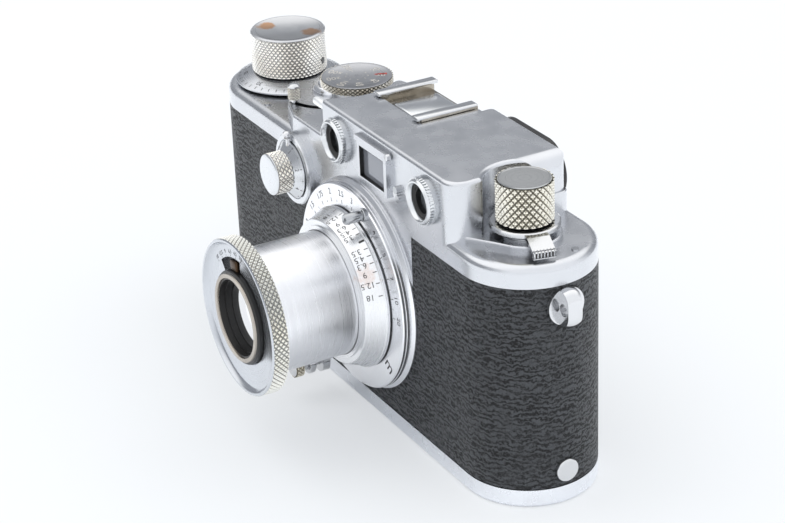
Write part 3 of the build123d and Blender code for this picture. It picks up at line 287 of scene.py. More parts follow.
def lathe(name, points, centre, axis, material, body, *nodes, steps=144, loop=True, sharp=32):
    """A piece turned from (radius, height) points about an upright (z) or lens-wise (y) axis, in mm."""
    deselect()
    rows = [turned_point(centre, axis, r, 0, h) for r, h in points]
    edges = [(i, i + 1) for i in range(len(rows) - 1)] + ([(len(rows) - 1, 0)] if loop else [])
    mesh = bpy.data.meshes.new(name)
    mesh.from_pydata(rows, edges, [])
    piece = bpy.data.objects.new(name, mesh)
    bpy.context.collection.objects.link(piece)
    piece.select_set(True)
    bpy.context.view_layer.objects.active = piece
    bpy.ops.object.mode_set(mode="EDIT")
    bpy.ops.mesh.select_all(action="SELECT")
    bpy.ops.mesh.spin(steps=steps, angle=2 * math.pi, center=turned_point(centre, axis, 0, 0, 0),
                      axis=(0, 0, 1) if axis == "z" else (0, 1, 0))
    bpy.ops.mesh.select_all(action="SELECT")
    bpy.ops.mesh.remove_doubles(threshold=0.000002)
    bpy.ops.mesh.normals_make_consistent(inside=False)
    bpy.ops.object.mode_set(mode="OBJECT")
    bpy.ops.object.shade_smooth_by_angle(angle=math.radians(sharp))
    piece.data.materials.append(material)
    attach(piece, body)
    if nodes:
        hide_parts(*nodes)
    return piece


def surface_of(centre, axis, start, end, lift=0.02):
    """Maps (angle, distance from start) to a point on the surface turned between two (radius, height)."""
    slope = math.hypot(end[0] - start[0], end[1] - start[1])
    step = ((end[0] - start[0]) / slope, (end[1] - start[1]) / slope)
    side = (abs(step[1]), -abs(step[0])) if axis == "y" else (abs(step[1]), abs(step[0]))

    def place(angle, at):
        radius = start[0] + step[0] * at + side[0] * lift
        height = start[1] + step[1] * at + side[1] * lift
        across, over = radius * math.cos(math.radians(angle)), radius * math.sin(math.radians(angle))
        return turned_point(centre, axis, across, over, height), radius
    return place


def shaped(name, points, faces, material, body):
    """A piece made of its own points and faces, riding on a body."""
    mesh = bpy.data.meshes.new(name)
    mesh.from_pydata(points, [], faces)
    piece = bpy.data.objects.new(name, mesh)
    bpy.context.collection.objects.link(piece)
    piece.data.materials.append(material)
    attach(piece, body)
    return piece


glyphs = {}


def glyph(text):
    """The flat outline mesh of a word, one unit high, centred on its middle."""
    if text not in glyphs:
        curve = bpy.data.curves.new("word", "FONT")
        curve.body = text
        curve.align_x = "CENTER"
        curve.align_y = "CENTER"
        curve.resolution_u = 3
        holder = bpy.data.objects.new("word", curve)
        bpy.context.collection.objects.link(holder)
        bpy.context.view_layer.update()
        made = bpy.data.meshes.new_from_object(holder.evaluated_get(bpy.context.evaluated_depsgraph_get()))
        glyphs[text] = ([tuple(v.co[:2]) for v in made.vertices], [tuple(p.vertices) for p in made.polygons])
        bpy.data.objects.remove(holder)
        bpy.data.curves.remove(curve)
        bpy.data.meshes.remove(made)
    return glyphs[text]


def printed(name, place, words, ticks, material, body):
    """Marks on a turned surface: words (text, angle, at, size, turn) and ticks (angle, from, to, width)."""
    points, faces = [], []
    for text, angle, at, size, turn in words:
        outline, shapes = glyph(text)
        faces += [tuple(i + len(points) for i in shape) for shape in shapes]
        swing = math.radians(turn)
        for x, y in outline:
            lx = (x * math.cos(swing) - y * math.sin(swing)) * size
            ly = (x * math.sin(swing) + y * math.cos(swing)) * size
            radius = place(angle, at)[1]
            points.append(place(angle - math.degrees(lx / radius), at + ly)[0])
    for angle, near, far, width in ticks:
        half = math.degrees(width / 2 / place(angle, near)[1])
        faces.append(tuple(range(len(points), len(points) + 4)))
        points += [place(angle + half, near)[0], place(angle - half, near)[0],
                   place(angle - half, far)[0], place(angle + half, far)[0]]
    return shaped(name, points, faces, material, body)


# ---- wind knob
# Tall nickel-plated brass knob, screwed to the winding shaft. Its side is diamond-knurled and dirty in the
# grooves; thumbs have worn the turned top through to brass in two places.
CREST_SHARE = 2.1       # how soon a lozenge reaches its flat crest; 1 would give a sharp point


def knurl(name, centre, axis, radius, low, high, count, rows, depth, material, body):
    """A diamond-knurled band on a cylinder; its attribute groove says how deep each point lies."""
    columns, steps = 4 * count, 4 * rows
    points, sunk, faces = [], [], []
    for j in range(steps + 1):
        for i in range(columns):
            u, v = i / 2, j / 2
            a, b = abs((u + v) % 2 - 1), abs((u - v) % 2 - 1)
            height = min(1, CREST_SHARE * min(a, b))
            angle = 2 * math.pi * i / columns
            r = radius - depth * (1 - height)
            h = low + (high - low) * j / steps
            points.append(turned_point(centre, axis, r * math.cos(angle), r * math.sin(angle), h))
            sunk.append(1 - height)
    for j in range(steps):
        for i in range(columns):
            a, b = j * columns + i, j * columns + (i + 1) % columns
            c, d = b + columns, a + columns
            quad = [(a, b, c), (a, c, d)] if sunk[a] + sunk[c] > sunk[b] + sunk[d] else [(a, b, d), (b, c, d)]
            faces += quad if axis == "z" else [tuple(reversed(face)) for face in quad]
    piece = shaped(name, points, faces, material, body)
    piece.data.attributes.new("groove", "FLOAT", "POINT").data.foreach_set("value", sunk)
    return piece


def knurled_metal(name, crest, groove, rough=0.24, dirt=1.0, patina="#a08a5c", patinated=0.35):
    """Plated knurling: bright worn lozenges, grime deep in the grooves and a yellow patina in patches."""
    material, tree, output = blank(name)
    point = add(tree, "TexCoord").outputs["Object"]
    depth = add(tree, "Attribute", attribute_name="groove")
    patch = patchy(tree, point, 0.0, patinated, Scale=160.0, Detail=4.0)
    top = add(tree, "MixRGB", {0: patch, 1: linear(crest), 2: linear(patina)})
    deep = add(tree, "MapRange", {0: depth.outputs["Fac"], 1: 0.45, 2: 1.0, 3: 0.0, 4: dirt})
    shade = add(tree, "MixRGB", {0: deep.outputs[0], 1: top.outputs[0], 2: linear(groove)})
    shine = add(tree, "MapRange", {0: depth.outputs["Fac"], 1: 0.4, 2: 1.0, 3: 1.0, 4: 0.5})
    skin = add(tree, "BsdfPrincipled", {"Base Color": shade.outputs[0], "Metallic": shine.outputs[0],
                                        "Roughness": rough})
    tree.links.new(skin.outputs[0], output.inputs[0])
    return material


def worn_through(material, spots, under, most, ragged, detail, wander, outer, inner):
    """Shows the metal under the plate in ragged patches; spots, wander, outer and inner are in mm."""
    tree = material.node_tree
    skin = next(made for made in tree.nodes if made.type == "BSDF_PRINCIPLED")
    tint = skin.inputs["Base Color"].links[0].from_socket
    point = add(tree, "TexCoord").outputs["Object"]
    for spot in spots:
        away = add(tree, "VectorMath", {0: point, 1: [part * MM for part in spot]}, operation="SUBTRACT")
        reach = add(tree, "VectorMath", {0: away.outputs[0]}, operation="LENGTH")
        cloud = add(tree, "TexNoise", {"Vector": point, "Scale": ragged, "Detail": detail})
        edge = add(tree, "Math", {0: cloud.outputs[0], 1: wander * MM, 2: reach.outputs["Value"]},
                   operation="MULTIPLY_ADD")
        bare = add(tree, "MapRange", {0: edge.outputs[0], 1: outer * MM, 2: inner * MM, 3: 0.0, 4: most})
        tint = add(tree, "MixRGB", {0: bare.outputs[0], 1: tint, 2: linear(under)}).outputs[0]
    tree.links.new(tint, skin.inputs["Base Color"])


WIND = (-53.0, 0.0)
# Wind-knob knurl: silver crests over brown-black grooves.
wind_knurl = knurled_metal("knurled_nickel_wind", "#fbfaf7", "#4a443a", dirt=0.9, patinated=0.2)
# Wind-knob top: grey lathe-turned nickel with two patches rubbed down to orange brass.
knob_top = turned_metal("turned_nickel_top", "#c3c4c6", 0.32, WIND, "z")
worn_through(knob_top, ((-57.4, -3.6, 68.9), (-47.7, 3.7, 68.9)), "#b5814e", 0.8, ragged=500.0, detail=3.0,
             wander=2.8, outer=3.8, inner=3.0)
lathe("wind_knob_core", [(2.55, 59.2), (8.6, 59.2), (8.6, 68.35), (8.9, 68.5), (8.9, 68.6), (8.6, 68.88),
                         (8.1, 68.88), (8.0, 68.82), (0, 68.82), (0, 65.0), (2.55, 65.0)],
      WIND, "z", knob_top, "winder", "wind_knob")
knurl("wind_knob_knurl", WIND, "z", 8.98, 59.35, 68.45, 50, 7, 0.42, wind_knurl, "winder")


def plug(name, place, aim, radius, length, material, body, steps=24):
    """A small round plug whose outer end is at a point and which points along aim."""
    deselect()
    aim = Vector(aim).normalized()
    middle = Vector(place) * MM - aim * length / 2 * MM
    bpy.ops.mesh.primitive_cylinder_add(vertices=steps, radius=radius * MM, depth=length * MM)
    piece = bpy.context.object
    piece.name = name
    piece.data.transform(Matrix.Translation(middle) @ aim.to_track_quat("Z", "Y").to_matrix().to_4x4())
    bpy.ops.object.shade_smooth_by_angle(angle=math.radians(40))
    piece.data.materials.append(material)
    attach(piece, body)
    return piece


# dark hole of the grub screw that holds the knob on its shaft
GRUB_ANGLE, GRUB_HEIGHT, GRUB_OUT = 38, 61.7, 8.96
hole_way = Vector((math.cos(math.radians(GRUB_ANGLE)), math.sin(math.radians(GRUB_ANGLE)), 0))
plug("wind_knob_screw", Vector((WIND[0], WIND[1], GRUB_HEIGHT)) + hole_way * GRUB_OUT, hole_way, 0.75, 0.6,
     black_lacquer, "winder")

# ---- frame counter dial
# Thin chromed brass disc that turns under the wind knob. Its coned edge is engraved with forty ticks, with
# every fifth one numbered.
COUNTER_ZERO, COUNTER_STEP = -160, -9
# Turned chrome: a light grey with rings that fan the light out.
counter_chrome = turned_metal("turned_chrome_counter", "#c0c2c6", 0.26, WIND, "z")
lathe("counter_disc", [(2.6, 56.5), (12.45, 56.5), (12.95, 56.8), (12.95, 57.1), (12.65, 57.3), (9.0, 58.8),
                       (2.6, 58.8)], WIND, "z", counter_chrome, "counter", "counter_dial")
printed("counter_marks", surface_of(WIND, "z", (9.0, 58.8), (12.65, 57.3)),
        [(str(5 * i), COUNTER_ZERO + 5 * COUNTER_STEP * i, 1.75, 1.7, 0) for i in range(8)],
        [(COUNTER_ZERO + COUNTER_STEP * i, 2.85, 3.75, 0.16) for i in range(40)], engraving, "counter")

# ---- shutter release
# Turned brass button, domed and hollowed for a cable release, that slides in a tapered collar pressed into
# the cover.
RELEASE = (-31.0, 0.0)
# Turned chrome: bright, as fingers keep it polished.
release_chrome = turned_metal("turned_chrome_release", "#dcdde0", 0.2, RELEASE, "z")
lathe("release_collar_turned", [(3.08, 56.5), (4.1, 56.5), (4.1, 60.6), (4.68, 60.6), (4.68, 61.2),
                                (4.5, 61.5), (4.3, 62.0), (4.1, 62.2), (3.3, 62.2), (3.08, 62.0)],
      RELEASE, "z", release_chrome, "body", "release_collar")
lathe("release_button_turned", [(0, 57.0), (3.0, 57.0), (3.0, 63.1), (2.76, 63.66), (2.2, 63.9), (1.3, 63.9),
                                (1.1, 63.7), (0.9, 62.5), (0, 62.5)],
      RELEASE, "z", release_chrome, "release", "release_button")

# ---- speed dial
# Mushroom-shaped brass dial on the shutter drum's shaft, finely knurled round its rim. Engraved speeds, worn
# pale, stand round its turned top, with one mark in red.
DIAL = (-18.4, 0.0)
SPEED_START, SPEED_STEP = 100, -41
# Turned nickel: a duller grey than the chrome, uneven from handling.
dial_chrome = turned_metal("turned_nickel_dial", "#b2b3b6", 0.3, DIAL, "z", mottle=0.06)
# Dial knurl: dull silver crests with a yellow tinge over brown grooves.
dial_knurl = knurled_metal("knurled_nickel_dial", "#e8e6e0", "#3a342b", patinated=0.4)
lathe("speed_dial_core", [(2.1, 61.2), (5.6, 61.2), (5.6, 65.9), (7.6, 66.2), (7.9, 66.3), (7.9, 67.95),
                          (8.05, 68.0), (8.0, 68.08), (7.3, 68.08), (7.2, 68.04), (0, 68.04), (0, 66.1),
                          (2.1, 66.1)], DIAL, "z", dial_chrome, "dial", "speed_dial")
knurl("speed_dial_knurl", DIAL, "z", 8.34, 66.3, 67.98, 46, 2, 0.4, dial_knurl, "dial")
dial_face = surface_of(DIAL, "z", (0.5, 68.04), (8.0, 68.04))
# Marks with their paint gone: bare pale metal.
worn_marks = plated("worn_pale_marks", "#f2ede4", 0.35, mottle=0.2)
speeds = ("20", "30", "40", "60", "100", "200", "500", "1000")
printed("speed_marks", dial_face,
        [(text, SPEED_START + SPEED_STEP * i, 4.9, 2.3, 90) for i, text in enumerate(speeds)],
        [(SPEED_START + SPEED_STEP * i, 1.9, 2.3, 0.18) for i in range(8)], worn_marks, "dial")
# Red enamel of the flash mark: a small brick-red dash.
red_enamel = plated("red_enamel", "#a03428", 0.4)
red_enamel.node_tree.nodes["Principled BSDF"].inputs["Metallic"].default_value = 0.0
printed("speed_red_mark", dial_face, [], [(66, 3.6, 6.4, 0.6)], red_enamel, "dial")

# ---- advance lever and index pin
# A steel arm under the deck swings about the release shaft and carries a small finely knurled post with a
# bright dome. Beside the dial, a bullet-ended pin pressed into the housing marks the set speed.
ARM_ANGLE, ARM_REACH = -76.5, 11.55


def around(centre, radius, angle):
    """The point at a radius and an angle in degrees about a centre."""
    return (centre[0] + radius * math.cos(math.radians(angle)),
            centre[1] + radius * math.sin(math.radians(angle)))


POST = around(RELEASE, ARM_REACH, ARM_ANGLE)
# Post knurl: greyer than the knobs, as it is seldom rubbed.
post_knurl = knurled_metal("knurled_nickel_post", "#d5d3cc", "#4a4438")
lathe("lever_post", [(0, 54.0), (0.65, 54.0), (0.65, 61.2), (1.0, 61.2), (1.0, 61.7), (1.32, 61.75),
                     (1.32, 64.5), (1.45, 64.6), (1.4, 64.9), (1.0, 65.3), (0.5, 65.4), (0, 65.4)],
      POST, "z", bright_nickel, "advance", "advance_lever", steps=32)
knurl("lever_post_knurl", POST, "z", 1.49, 61.75, 64.6, 12, 4, 0.2, post_knurl, "advance")


def block(name, low, high, rounded, material, body, *nodes, place=None):
    """A bar between two corners in millimetres with rounded edges, turned by a matrix if one is given."""
    deselect()
    bpy.ops.mesh.primitive_cube_add(size=1)
    bar = bpy.context.object
    bar.name = name
    middle = (Vector(low) + Vector(high)) / 2 * MM
    size = [(b - a) * MM for a, b in zip(low, high)]
    bar.data.transform(Matrix.Translation(middle) @ Matrix.Diagonal((*size, 1)))
    bpy.ops.object.mode_set(mode="EDIT")
    bpy.ops.mesh.select_all(action="SELECT")
    bpy.ops.mesh.bevel(offset=rounded * MM, segments=3)
    bpy.ops.object.mode_set(mode="OBJECT")
    bpy.ops.object.shade_smooth_by_angle(angle=math.radians(30))
    if place is not None:
        bar.data.transform(place)
    bar.data.materials.append(material)
    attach(bar, body)
    for node in nodes:
        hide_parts(node)
    return bar


block("lever_arm", (3.0, -1.2, 53.85), (12.0, 1.2, 54.75), 0.15, bright_nickel, "advance",
      place=Matrix.Translation((RELEASE[0] * MM, 0, 0)) @ Matrix.Rotation(math.radians(ARM_ANGLE), 4, "Z"))
# Satin silver of the index pin: soft and lighter than the cover.
pin_silver = plated("satin_silver_pin", "#f6f7f8", 0.5)
block("index_pin_rounded", (-13.95, -13.9, 65.8), (-7.4, -12.1, 67.6), 0.7, pin_silver, "body", "index_pin")

# ---- accessory shoe
# Bent steel clip, screwed to the housing, with two lips folded over its channel and a sprung plate between
# them that grips the accessory's foot.
# Shoe steel: dull, stained brown in patches where grime has stayed in the channel.
shoe_steel = plated("stained_shoe_steel", "#c9c5bc", 0.25, mottle=0.12, stain="#5d4a30", stained=0.8)
# Spring steel: clean and lighter than the clip, as each foot slides over it.
spring_steel = plated("spring_steel", "#d6d8da", 0.18, mottle=0.04)
SHOE_WALL = 0.8
block("shoe_plate", (-3.05, -3.1, 66.62), (16.65, 11.05, 67.4), 0.12, shoe_steel, "body", "accessory_shoe")
for side, outer, inner in (("left", -3.08, -0.4), ("right", 16.68, 14.0)):
    wall = sorted((outer, outer + math.copysign(SHOE_WALL, inner - outer)))
    lip = sorted((outer, inner))
    block("shoe_wall_" + side, (wall[0], -3.1, 66.65), (wall[1], 11.05, 70.1), 0.15, shoe_steel, "body")
    block("shoe_lip_" + side, (lip[0], -4.15, 69.62), (lip[1], 11.08, 70.48), 0.36, bright_nickel, "body")
block("shoe_spring_plate", (2.2, -2.2, 67.42), (11.9, 9.3, 68.75), 0.6, spring_steel, "body", "shoe_spring")
dress("cover_screws", bright_nickel)

# ---- rangefinder windows
# Two turned bezels, screwed into the housing, with a milled rim for the fingers. Each has a black barrel
# inside and its glass set deep within.
WINDOW_HEIGHT = 62.4
TEETH = 44
TOOTH = ((4.86, 0), (4.86, 0.088), (5.29, 0.072), (5.29, 0.016))    # radius and angle of a tooth's corners
TOOTH_BACK, TOOTH_FRONT, TOOTH_CHAMFER = -15.75, -16.55, 0.12
# Window glass: clear grey with a faint cool sheen over the dark inside.
window_glass, tree, output = blank("window_glass")
skin = add(tree, "BsdfPrincipled", {"Base Color": linear("#cfd6dc"), "Roughness": 0.04, "IOR": 1.5,
                                    "Transmission Weight": 0.85})
tree.links.new(skin.outputs[0], output.inputs[0])
dress("window_glasses", window_glass)
for side, x in (("left", 0.3), ("right", 38.3)):
    at = (x, WINDOW_HEIGHT)
    # Bezel chrome: a sharp shine that breaks up in the milling.
    bezel_chrome = turned_metal("turned_chrome_bezel_" + side, "#cdcfd1", 0.15, at, "y")
    lathe("bezel_" + side, [(3.6, -13.4), (4.2, -13.4), (4.2, -15.0), (4.9, -15.0), (4.9, -16.4),
                            (4.8, -16.6), (4.7, -16.85), (4.5, -17.05), (4.2, -17.1), (3.95, -16.9),
                            (3.6, -16.0)],
          at, "y", bezel_chrome, "body", "window_bezel_" + side)
    points, faces = [], []
    for k in range(TEETH):
        for y in (TOOTH_BACK, TOOTH_FRONT):
            for r, turn in TOOTH:
                outer = y == TOOTH_FRONT and r > TOOTH[0][0]
                reach = r - TOOTH_CHAMFER if outer else r
                angle = 2 * math.pi * k / TEETH + turn
                points.append(turned_point(at, "y", reach * math.cos(angle), reach * math.sin(angle), y))
        faces += [tuple(8 * k + i for i in face) for face in
                  ((3, 2, 1, 0), (4, 5, 6, 7), (2, 3, 7, 6), (1, 2, 6, 5), (3, 0, 4, 7))]
    shaped("bezel_teeth_" + side, points, faces, bezel_chrome, "body")
    lathe("bezel_barrel_" + side, [(3.58, -13.6), (3.58, -16.0), (3.3, -15.6), (2.9, -15.5), (2.85, -13.6)],
          at, "y", black_lacquer, "body")

# ---- viewfinder window
# Rectangular frame fixed to the housing, with a raised bar and its screws over the top and right side. The
# reveals are black, round a pane of half-silvered glass.
dress("viewfinder_frame", satin_chrome)
plug("viewfinder_bar_screw", (24.0, -16.2, 67.0), (0, -1, 0), 0.75, 0.9, bright_nickel, "body")
plug("bar_foot_screw_high", (27.1, -15.95, 60.6), (0, -1, 0), 0.85, 1.0, pin_steel, "body")
plug("bar_foot_screw_low", (27.9, -15.95, 58.9), (0, -1, 0), 0.85, 1.0, pin_steel, "body")
FINDER = (16.5, 61.5)
FINDER_HALF_WIDTH, FINDER_HALF_HEIGHT, LINING_GAP = 5.6, 3.55, 0.03
corners = [turned_point(FINDER, "y", a * (FINDER_HALF_WIDTH - LINING_GAP),
                        b * (FINDER_HALF_HEIGHT - LINING_GAP), y)
           for y in (-15.55, -12.4) for a, b in ((-1, -1), (1, -1), (1, 1), (-1, 1))]
shaped("viewfinder_lining", corners, [(0, 4, 5, 1), (1, 5, 6, 2), (2, 6, 7, 3), (3, 7, 4, 0)],
       black_lacquer, "body")
# Half-silvered glass: a dull mid grey with a soft shine, darker than the chrome round it.
pane_glass, tree, output = blank("half_silvered_pane")
skin = add(tree, "BsdfPrincipled", {"Base Color": linear("#83868d"), "Roughness": 0.12, "Metallic": 0.3})
tree.links.new(skin.outputs[0], output.inputs[0])
corners = [(x * MM, y * MM, z * MM) for x, y, z in
           ((10.95, -14.5, 57.97), (22.05, -14.7, 57.97), (22.05, -14.7, 65.03), (10.95, -14.5, 65.03))]
shaped("viewfinder_pane", corners, [(0, 1, 2, 3)], pane_glass, "body")

# ---- slow-speed dial
# Small brass knob, diamond-knurled on its side, over a coned dial with marks. It turns in a bright ring on
# the front of the body, with a ball-ended pointer.
SLOW = (-20.3, 48.3)
SLOW_START, SLOW_STEP, SLOW_HALF = 70, -50, 45
# Turned chrome: pale, with hardly any rings.
slow_chrome = turned_metal("turned_chrome_slow", "#d0d2d5", 0.24, SLOW, "y", ring_mm=0.3, grain=0.08)
# Slow-dial knurl: clean silver crests over brown grooves.
slow_knurl = knurled_metal("knurled_nickel_slow", "#f6f4ee", "#4a3d2a", patinated=0.15)
dress("slow_dial_plate", slow_chrome)
lathe("slow_knob_core", [(1.55, -16.7), (6.8, -16.75), (6.8, -17.1), (4.62, -18.75), (4.62, -22.3),
                         (4.8, -22.45), (4.75, -22.6), (4.4, -22.8), (3.4, -22.88), (0, -22.9), (0, -20.0),
                         (1.55, -20.0)], SLOW, "y", slow_chrome, "slow_dial", "slow_speed_dial")
lathe("slow_shaft", [(0, -14.4), (1.55, -14.4), (1.55, -20.0), (0, -20.0)], SLOW, "y", slow_chrome,
      "slow_dial", steps=32)
knurl("slow_knob_knurl", SLOW, "y", 4.89, -22.4, -18.9, 24, 3, 0.3, slow_knurl, "slow_dial")
plug("slow_pointer_arm", (-20.3, -17.25, 54.3), (0, 0, -1), 0.65, 2.6, bright_nickel, "slow_dial")
lathe("slow_pointer_ball", [(0, -16.95), (0.75, -16.95), (0.98, -17.3), (1.0, -17.75), (0.9, -18.15),
                            (0.6, -18.5), (0, -18.64)],
      (-20.3, 56.9), "y", bright_nickel, "slow_dial", steps=32)
slow_speeds = ("1", "2", "4", "8", "10", "15", "20")
printed("slow_marks", surface_of(SLOW, "y", (4.62, -18.75), (6.8, -17.1)),
        [(text, SLOW_START + SLOW_STEP * i, 1.1, 1.3, 0) for i, text in enumerate(slow_speeds)],
        [(SLOW_START + SLOW_STEP * i, 1.95, 2.5, 0.16) for i in range(7)]
        + [(SLOW_HALF + SLOW_STEP * i, 2.1, 2.5, 0.12) for i in range(6)], engraving, "slow_dial")

# ---- rewind knob
# Coarse diamond-knurled brass knob on the rewind shaft, yellowed in the grooves, with a flat turned top.
# It is narrower than the wind knob.
REWIND = (53.0, 0.0)
# Rewind knurl: warm silver crests over dark brown grooves.
rewind_knurl = knurled_metal("knurled_nickel_rewind", "#dddbd3", "#453c2a", dirt=1.0, patina="#d6cfba",
                             patinated=0.3)
# Turned nickel of its top: a plain mid grey, fanned by the tool rings.
rewind_top = turned_metal("turned_nickel_rewind", "#b7b8b8", 0.3, REWIND, "z")
lathe("rewind_knob_core", [(2.55, 60.3), (5.6, 60.3), (5.4, 60.5), (5.4, 69.0), (5.6, 69.15), (5.5, 69.36),
                           (5.2, 69.36), (5.1, 69.28), (0, 69.28), (0, 65.4), (2.55, 65.4)],
      REWIND, "z", rewind_top, "rewinder", "rewind_knob")
knurl("rewind_knob_knurl", REWIND, "z", 6.09, 60.5, 69.12, 24, 5, 0.48, rewind_knurl, "rewinder")

# ---- dioptre lever
# Flat ring that turns under the rewind knob, with a sloping tab for the finger. Seven serrations are milled
# in the tab's end, with black strips laid in the grooves between them.
TAB_ANGLE, SERRATIONS, SERRATION_PITCH = -14, 7, 0.7
TAB_PROFILE = ((12.68, 57.0), (12.68, 58.12), (12.1, 58.42))       # reach from the axis and height
FLANK, RIDGE = 0.02, 0.3                                           # how far each stands off the tab
dress("dioptre_lever", bright_nickel)
tab_axis = Vector((REWIND[0], REWIND[1], 0))
tab_way = Vector((math.cos(math.radians(TAB_ANGLE)), math.sin(math.radians(TAB_ANGLE)), 0))
tab_side = Vector((-tab_way.y, tab_way.x, 0))
points, faces = [], []
for k in range(SERRATIONS):
    middle = tab_axis + tab_side * (-2.1 + SERRATION_PITCH * k)
    for reach, level in TAB_PROFILE:
        for lean in (-0.3, 0, 0.3):
            stand = FLANK if lean else RIDGE
            spot = middle + tab_side * lean * 0.75 + tab_way * (reach + (stand if level < 58.2 else 0))
            points.append((spot.x * MM, spot.y * MM, (level + (stand if level > 58 else 0)) * MM))
    for a in (9 * k, 9 * k + 1, 9 * k + 3, 9 * k + 4):
        faces.append((a, a + 1, a + 4, a + 3))
shaped("dioptre_serrations", points, faces, bright_nickel, "dioptre")
# black strips laid over the tab's end, showing between the serrations
corners = [tab_axis + tab_side * across + tab_way * out + Vector((0, 0, level)) for across, out, level in
           ((-2.38, 12.72, 56.95), (2.38, 12.72, 56.95), (2.38, 12.72, 58.15), (-2.38, 12.72, 58.15),
            (2.38, 12.1, 58.46), (-2.38, 12.1, 58.46))]
shaped("dioptre_grooves", [spot * MM for spot in corners], [(0, 1, 2, 3), (3, 2, 4, 5)],
       black_lacquer, "dioptre")

# ---- eyepieces at the back
# Black lacquered plate on the back of the housing, with two round eyepieces side by side: one for the
# rangefinder and one for the viewfinder.
dress("eyepiece_surround", black_lacquer)

# ---- strap lugs, hook stud and base key
# Small turned fittings, nickel plated: a strap lug in each end of the body, the stud that the base plate
# hooks on, and the key that locks it.
for node in ("strap_lug_left", "strap_lug_right", "hook_stud", "lock_key"):
    dress(node, bright_nickel)

# ---- lens flange and distance ring
# Turned flange held to the body by screws, with thin dark lines round it. The flat scale ring lies over it,
# with the distances engraved round its face and a stop pin for the focusing lever.
LENS = (9.0, 31.2)
STOP_PIN_RADIUS, STOP_PIN_ANGLE = 22.3, 68
# Turned chrome of the scale: pale, nearly white.
ring_chrome = turned_metal("turned_chrome_scale", "#e4e5e8", 0.24, LENS, "y", ring_mm=0.35, grain=0.06)
dress("lens_flange", ring_chrome)
dress("flange_screws", bright_nickel)
lathe("flange_rings", [(23.55, -15.2), (24.15, -15.2), (24.15, -15.5), (23.95, -15.62), (23.85, -15.58),
                       (23.55, -15.8)], LENS, "y", ring_chrome, "body", steps=192)
lathe("scale_ring", [(17.0, -8.0), (19.5, -8.0), (19.5, -16.22), (23.2, -16.22), (23.5, -16.5),
                     (23.5, -17.1), (23.4, -17.2), (23.4, -17.35), (23.5, -17.45), (23.5, -17.85),
                     (23.25, -18.15), (17.0, -18.15)],
      LENS, "y", ring_chrome, "body", "distance_ring", steps=192)
scale_face = surface_of(LENS, "y", (17.0, -18.15), (23.2, -18.15))
distances = (("1", 176), ("1.2", 160), ("1.5", 143), ("1.75", 127), ("2", 112), ("2.5", 97), ("3", 84),
             ("4", 56), ("5", 41), ("7", 27), ("10", 14), ("20", 1))
short_ticks = (168, 151, 135, 119, 104, 90, 77, 70, 63, 48, 34, 20, 7)
printed("distance_marks", scale_face,
        [(text, angle, 4.5, 1.95, 0) for text, angle in distances] + [("m", -38, 3.8, 4.4, 90)],
        [(angle, 2.2, 3.1, 0.16) for text, angle in distances]
        + [(angle, 2.2, 2.7, 0.12) for angle in short_ticks], engraving, "body")
lathe("stop_pin", [(0, -18.1), (1.45, -18.1), (1.5, -18.25), (1.5, -18.9), (1.4, -19.05), (0.9, -19.1),
                   (0.9, -19.4), (1.2, -19.5), (1.2, -23.0), (1.05, -23.3), (0.6, -23.42), (0, -23.45)],
      around(LENS, STOP_PIN_RADIUS, STOP_PIN_ANGLE), "y", pin_steel, "body", "focus_stop_pin", steps=32)

# ---- depth-of-field ring and focus lever
# Coned brass ring screwed to the focusing mount, engraved with the apertures on both sides of a pointer. Its
# lever ends in a knurled catch, which locks the lens at its farthest setting.
DEPTH_INDEX = 58
CATCH_RADIUS, CATCH_ANGLE = 26.6, 242
# Turned chrome of the cone: pale, with a coppery patch where the plate has worn through.
cone_chrome = turned_metal("turned_chrome_cone", "#dedfe1", 0.26, LENS, "y", grain=0.06)
worn_through(cone_chrome, ((22.8, -21.5, 40.2),), "#c9a48f", 0.35, ragged=900.0, detail=4.0,
             wander=6.0, outer=5.8, inner=4.0)
lathe("depth_cone", [(14.25, -4.3), (16.9, -4.3), (16.9, -18.45), (18.35, -18.45), (18.4, -18.6),
                     (18.4, -19.05), (18.25, -19.2), (18.1, -19.3), (16.45, -23.4), (16.3, -23.5),
                     (15.1, -23.5), (15.1, -23.9), (14.25, -23.9)],
      LENS, "y", cone_chrome, "focus", "depth_ring", steps=192)
cone_face = surface_of(LENS, "y", (16.4, -23.5), (18.1, -19.3))
stops = ("3.5", "4.5", "6.3", "9", "12.5", "18")
spread = (6.5, 12.0, 17.5, 24.0, 32.0, 41.0)
fans = [(DEPTH_INDEX + side * turn, text) for side in (-1, 1) for turn, text in zip(spread, stops)]
printed("depth_marks", cone_face, [(text, angle, 1.7, 1.85, -90) for angle, text in fans],
        [(angle, 3.5, 4.4, 0.18) for angle, text in fans] + [(DEPTH_INDEX, 3.2, 4.5, 0.5)],
        engraving, "focus")
dress("focus_lever", bright_nickel)
BUTTON = around(LENS, CATCH_RADIUS, CATCH_ANGLE)
# Catch knurl: worn towards brass, with brown grooves.
brass_knurl = knurled_metal("knurled_brass_button", "#d9d4c4", "#4a3f2c", patinated=0.3)
lathe("focus_button_turned", [(0, -18.9), (1.0, -18.9), (1.0, -22.8), (2.25, -22.8), (2.45, -23.0),
                              (2.45, -24.2), (2.2, -24.4), (1.5, -24.6), (1.5, -25.6), (2.2, -25.8),
                              (2.2, -27.85), (1.9, -28.08), (0, -28.1)],
      BUTTON, "y", bright_nickel, "catch", "focus_button", steps=32)
knurl("focus_button_knurl", BUTTON, "y", 2.48, -27.8, -25.85, 15, 2, 0.2, brass_knurl, "catch")

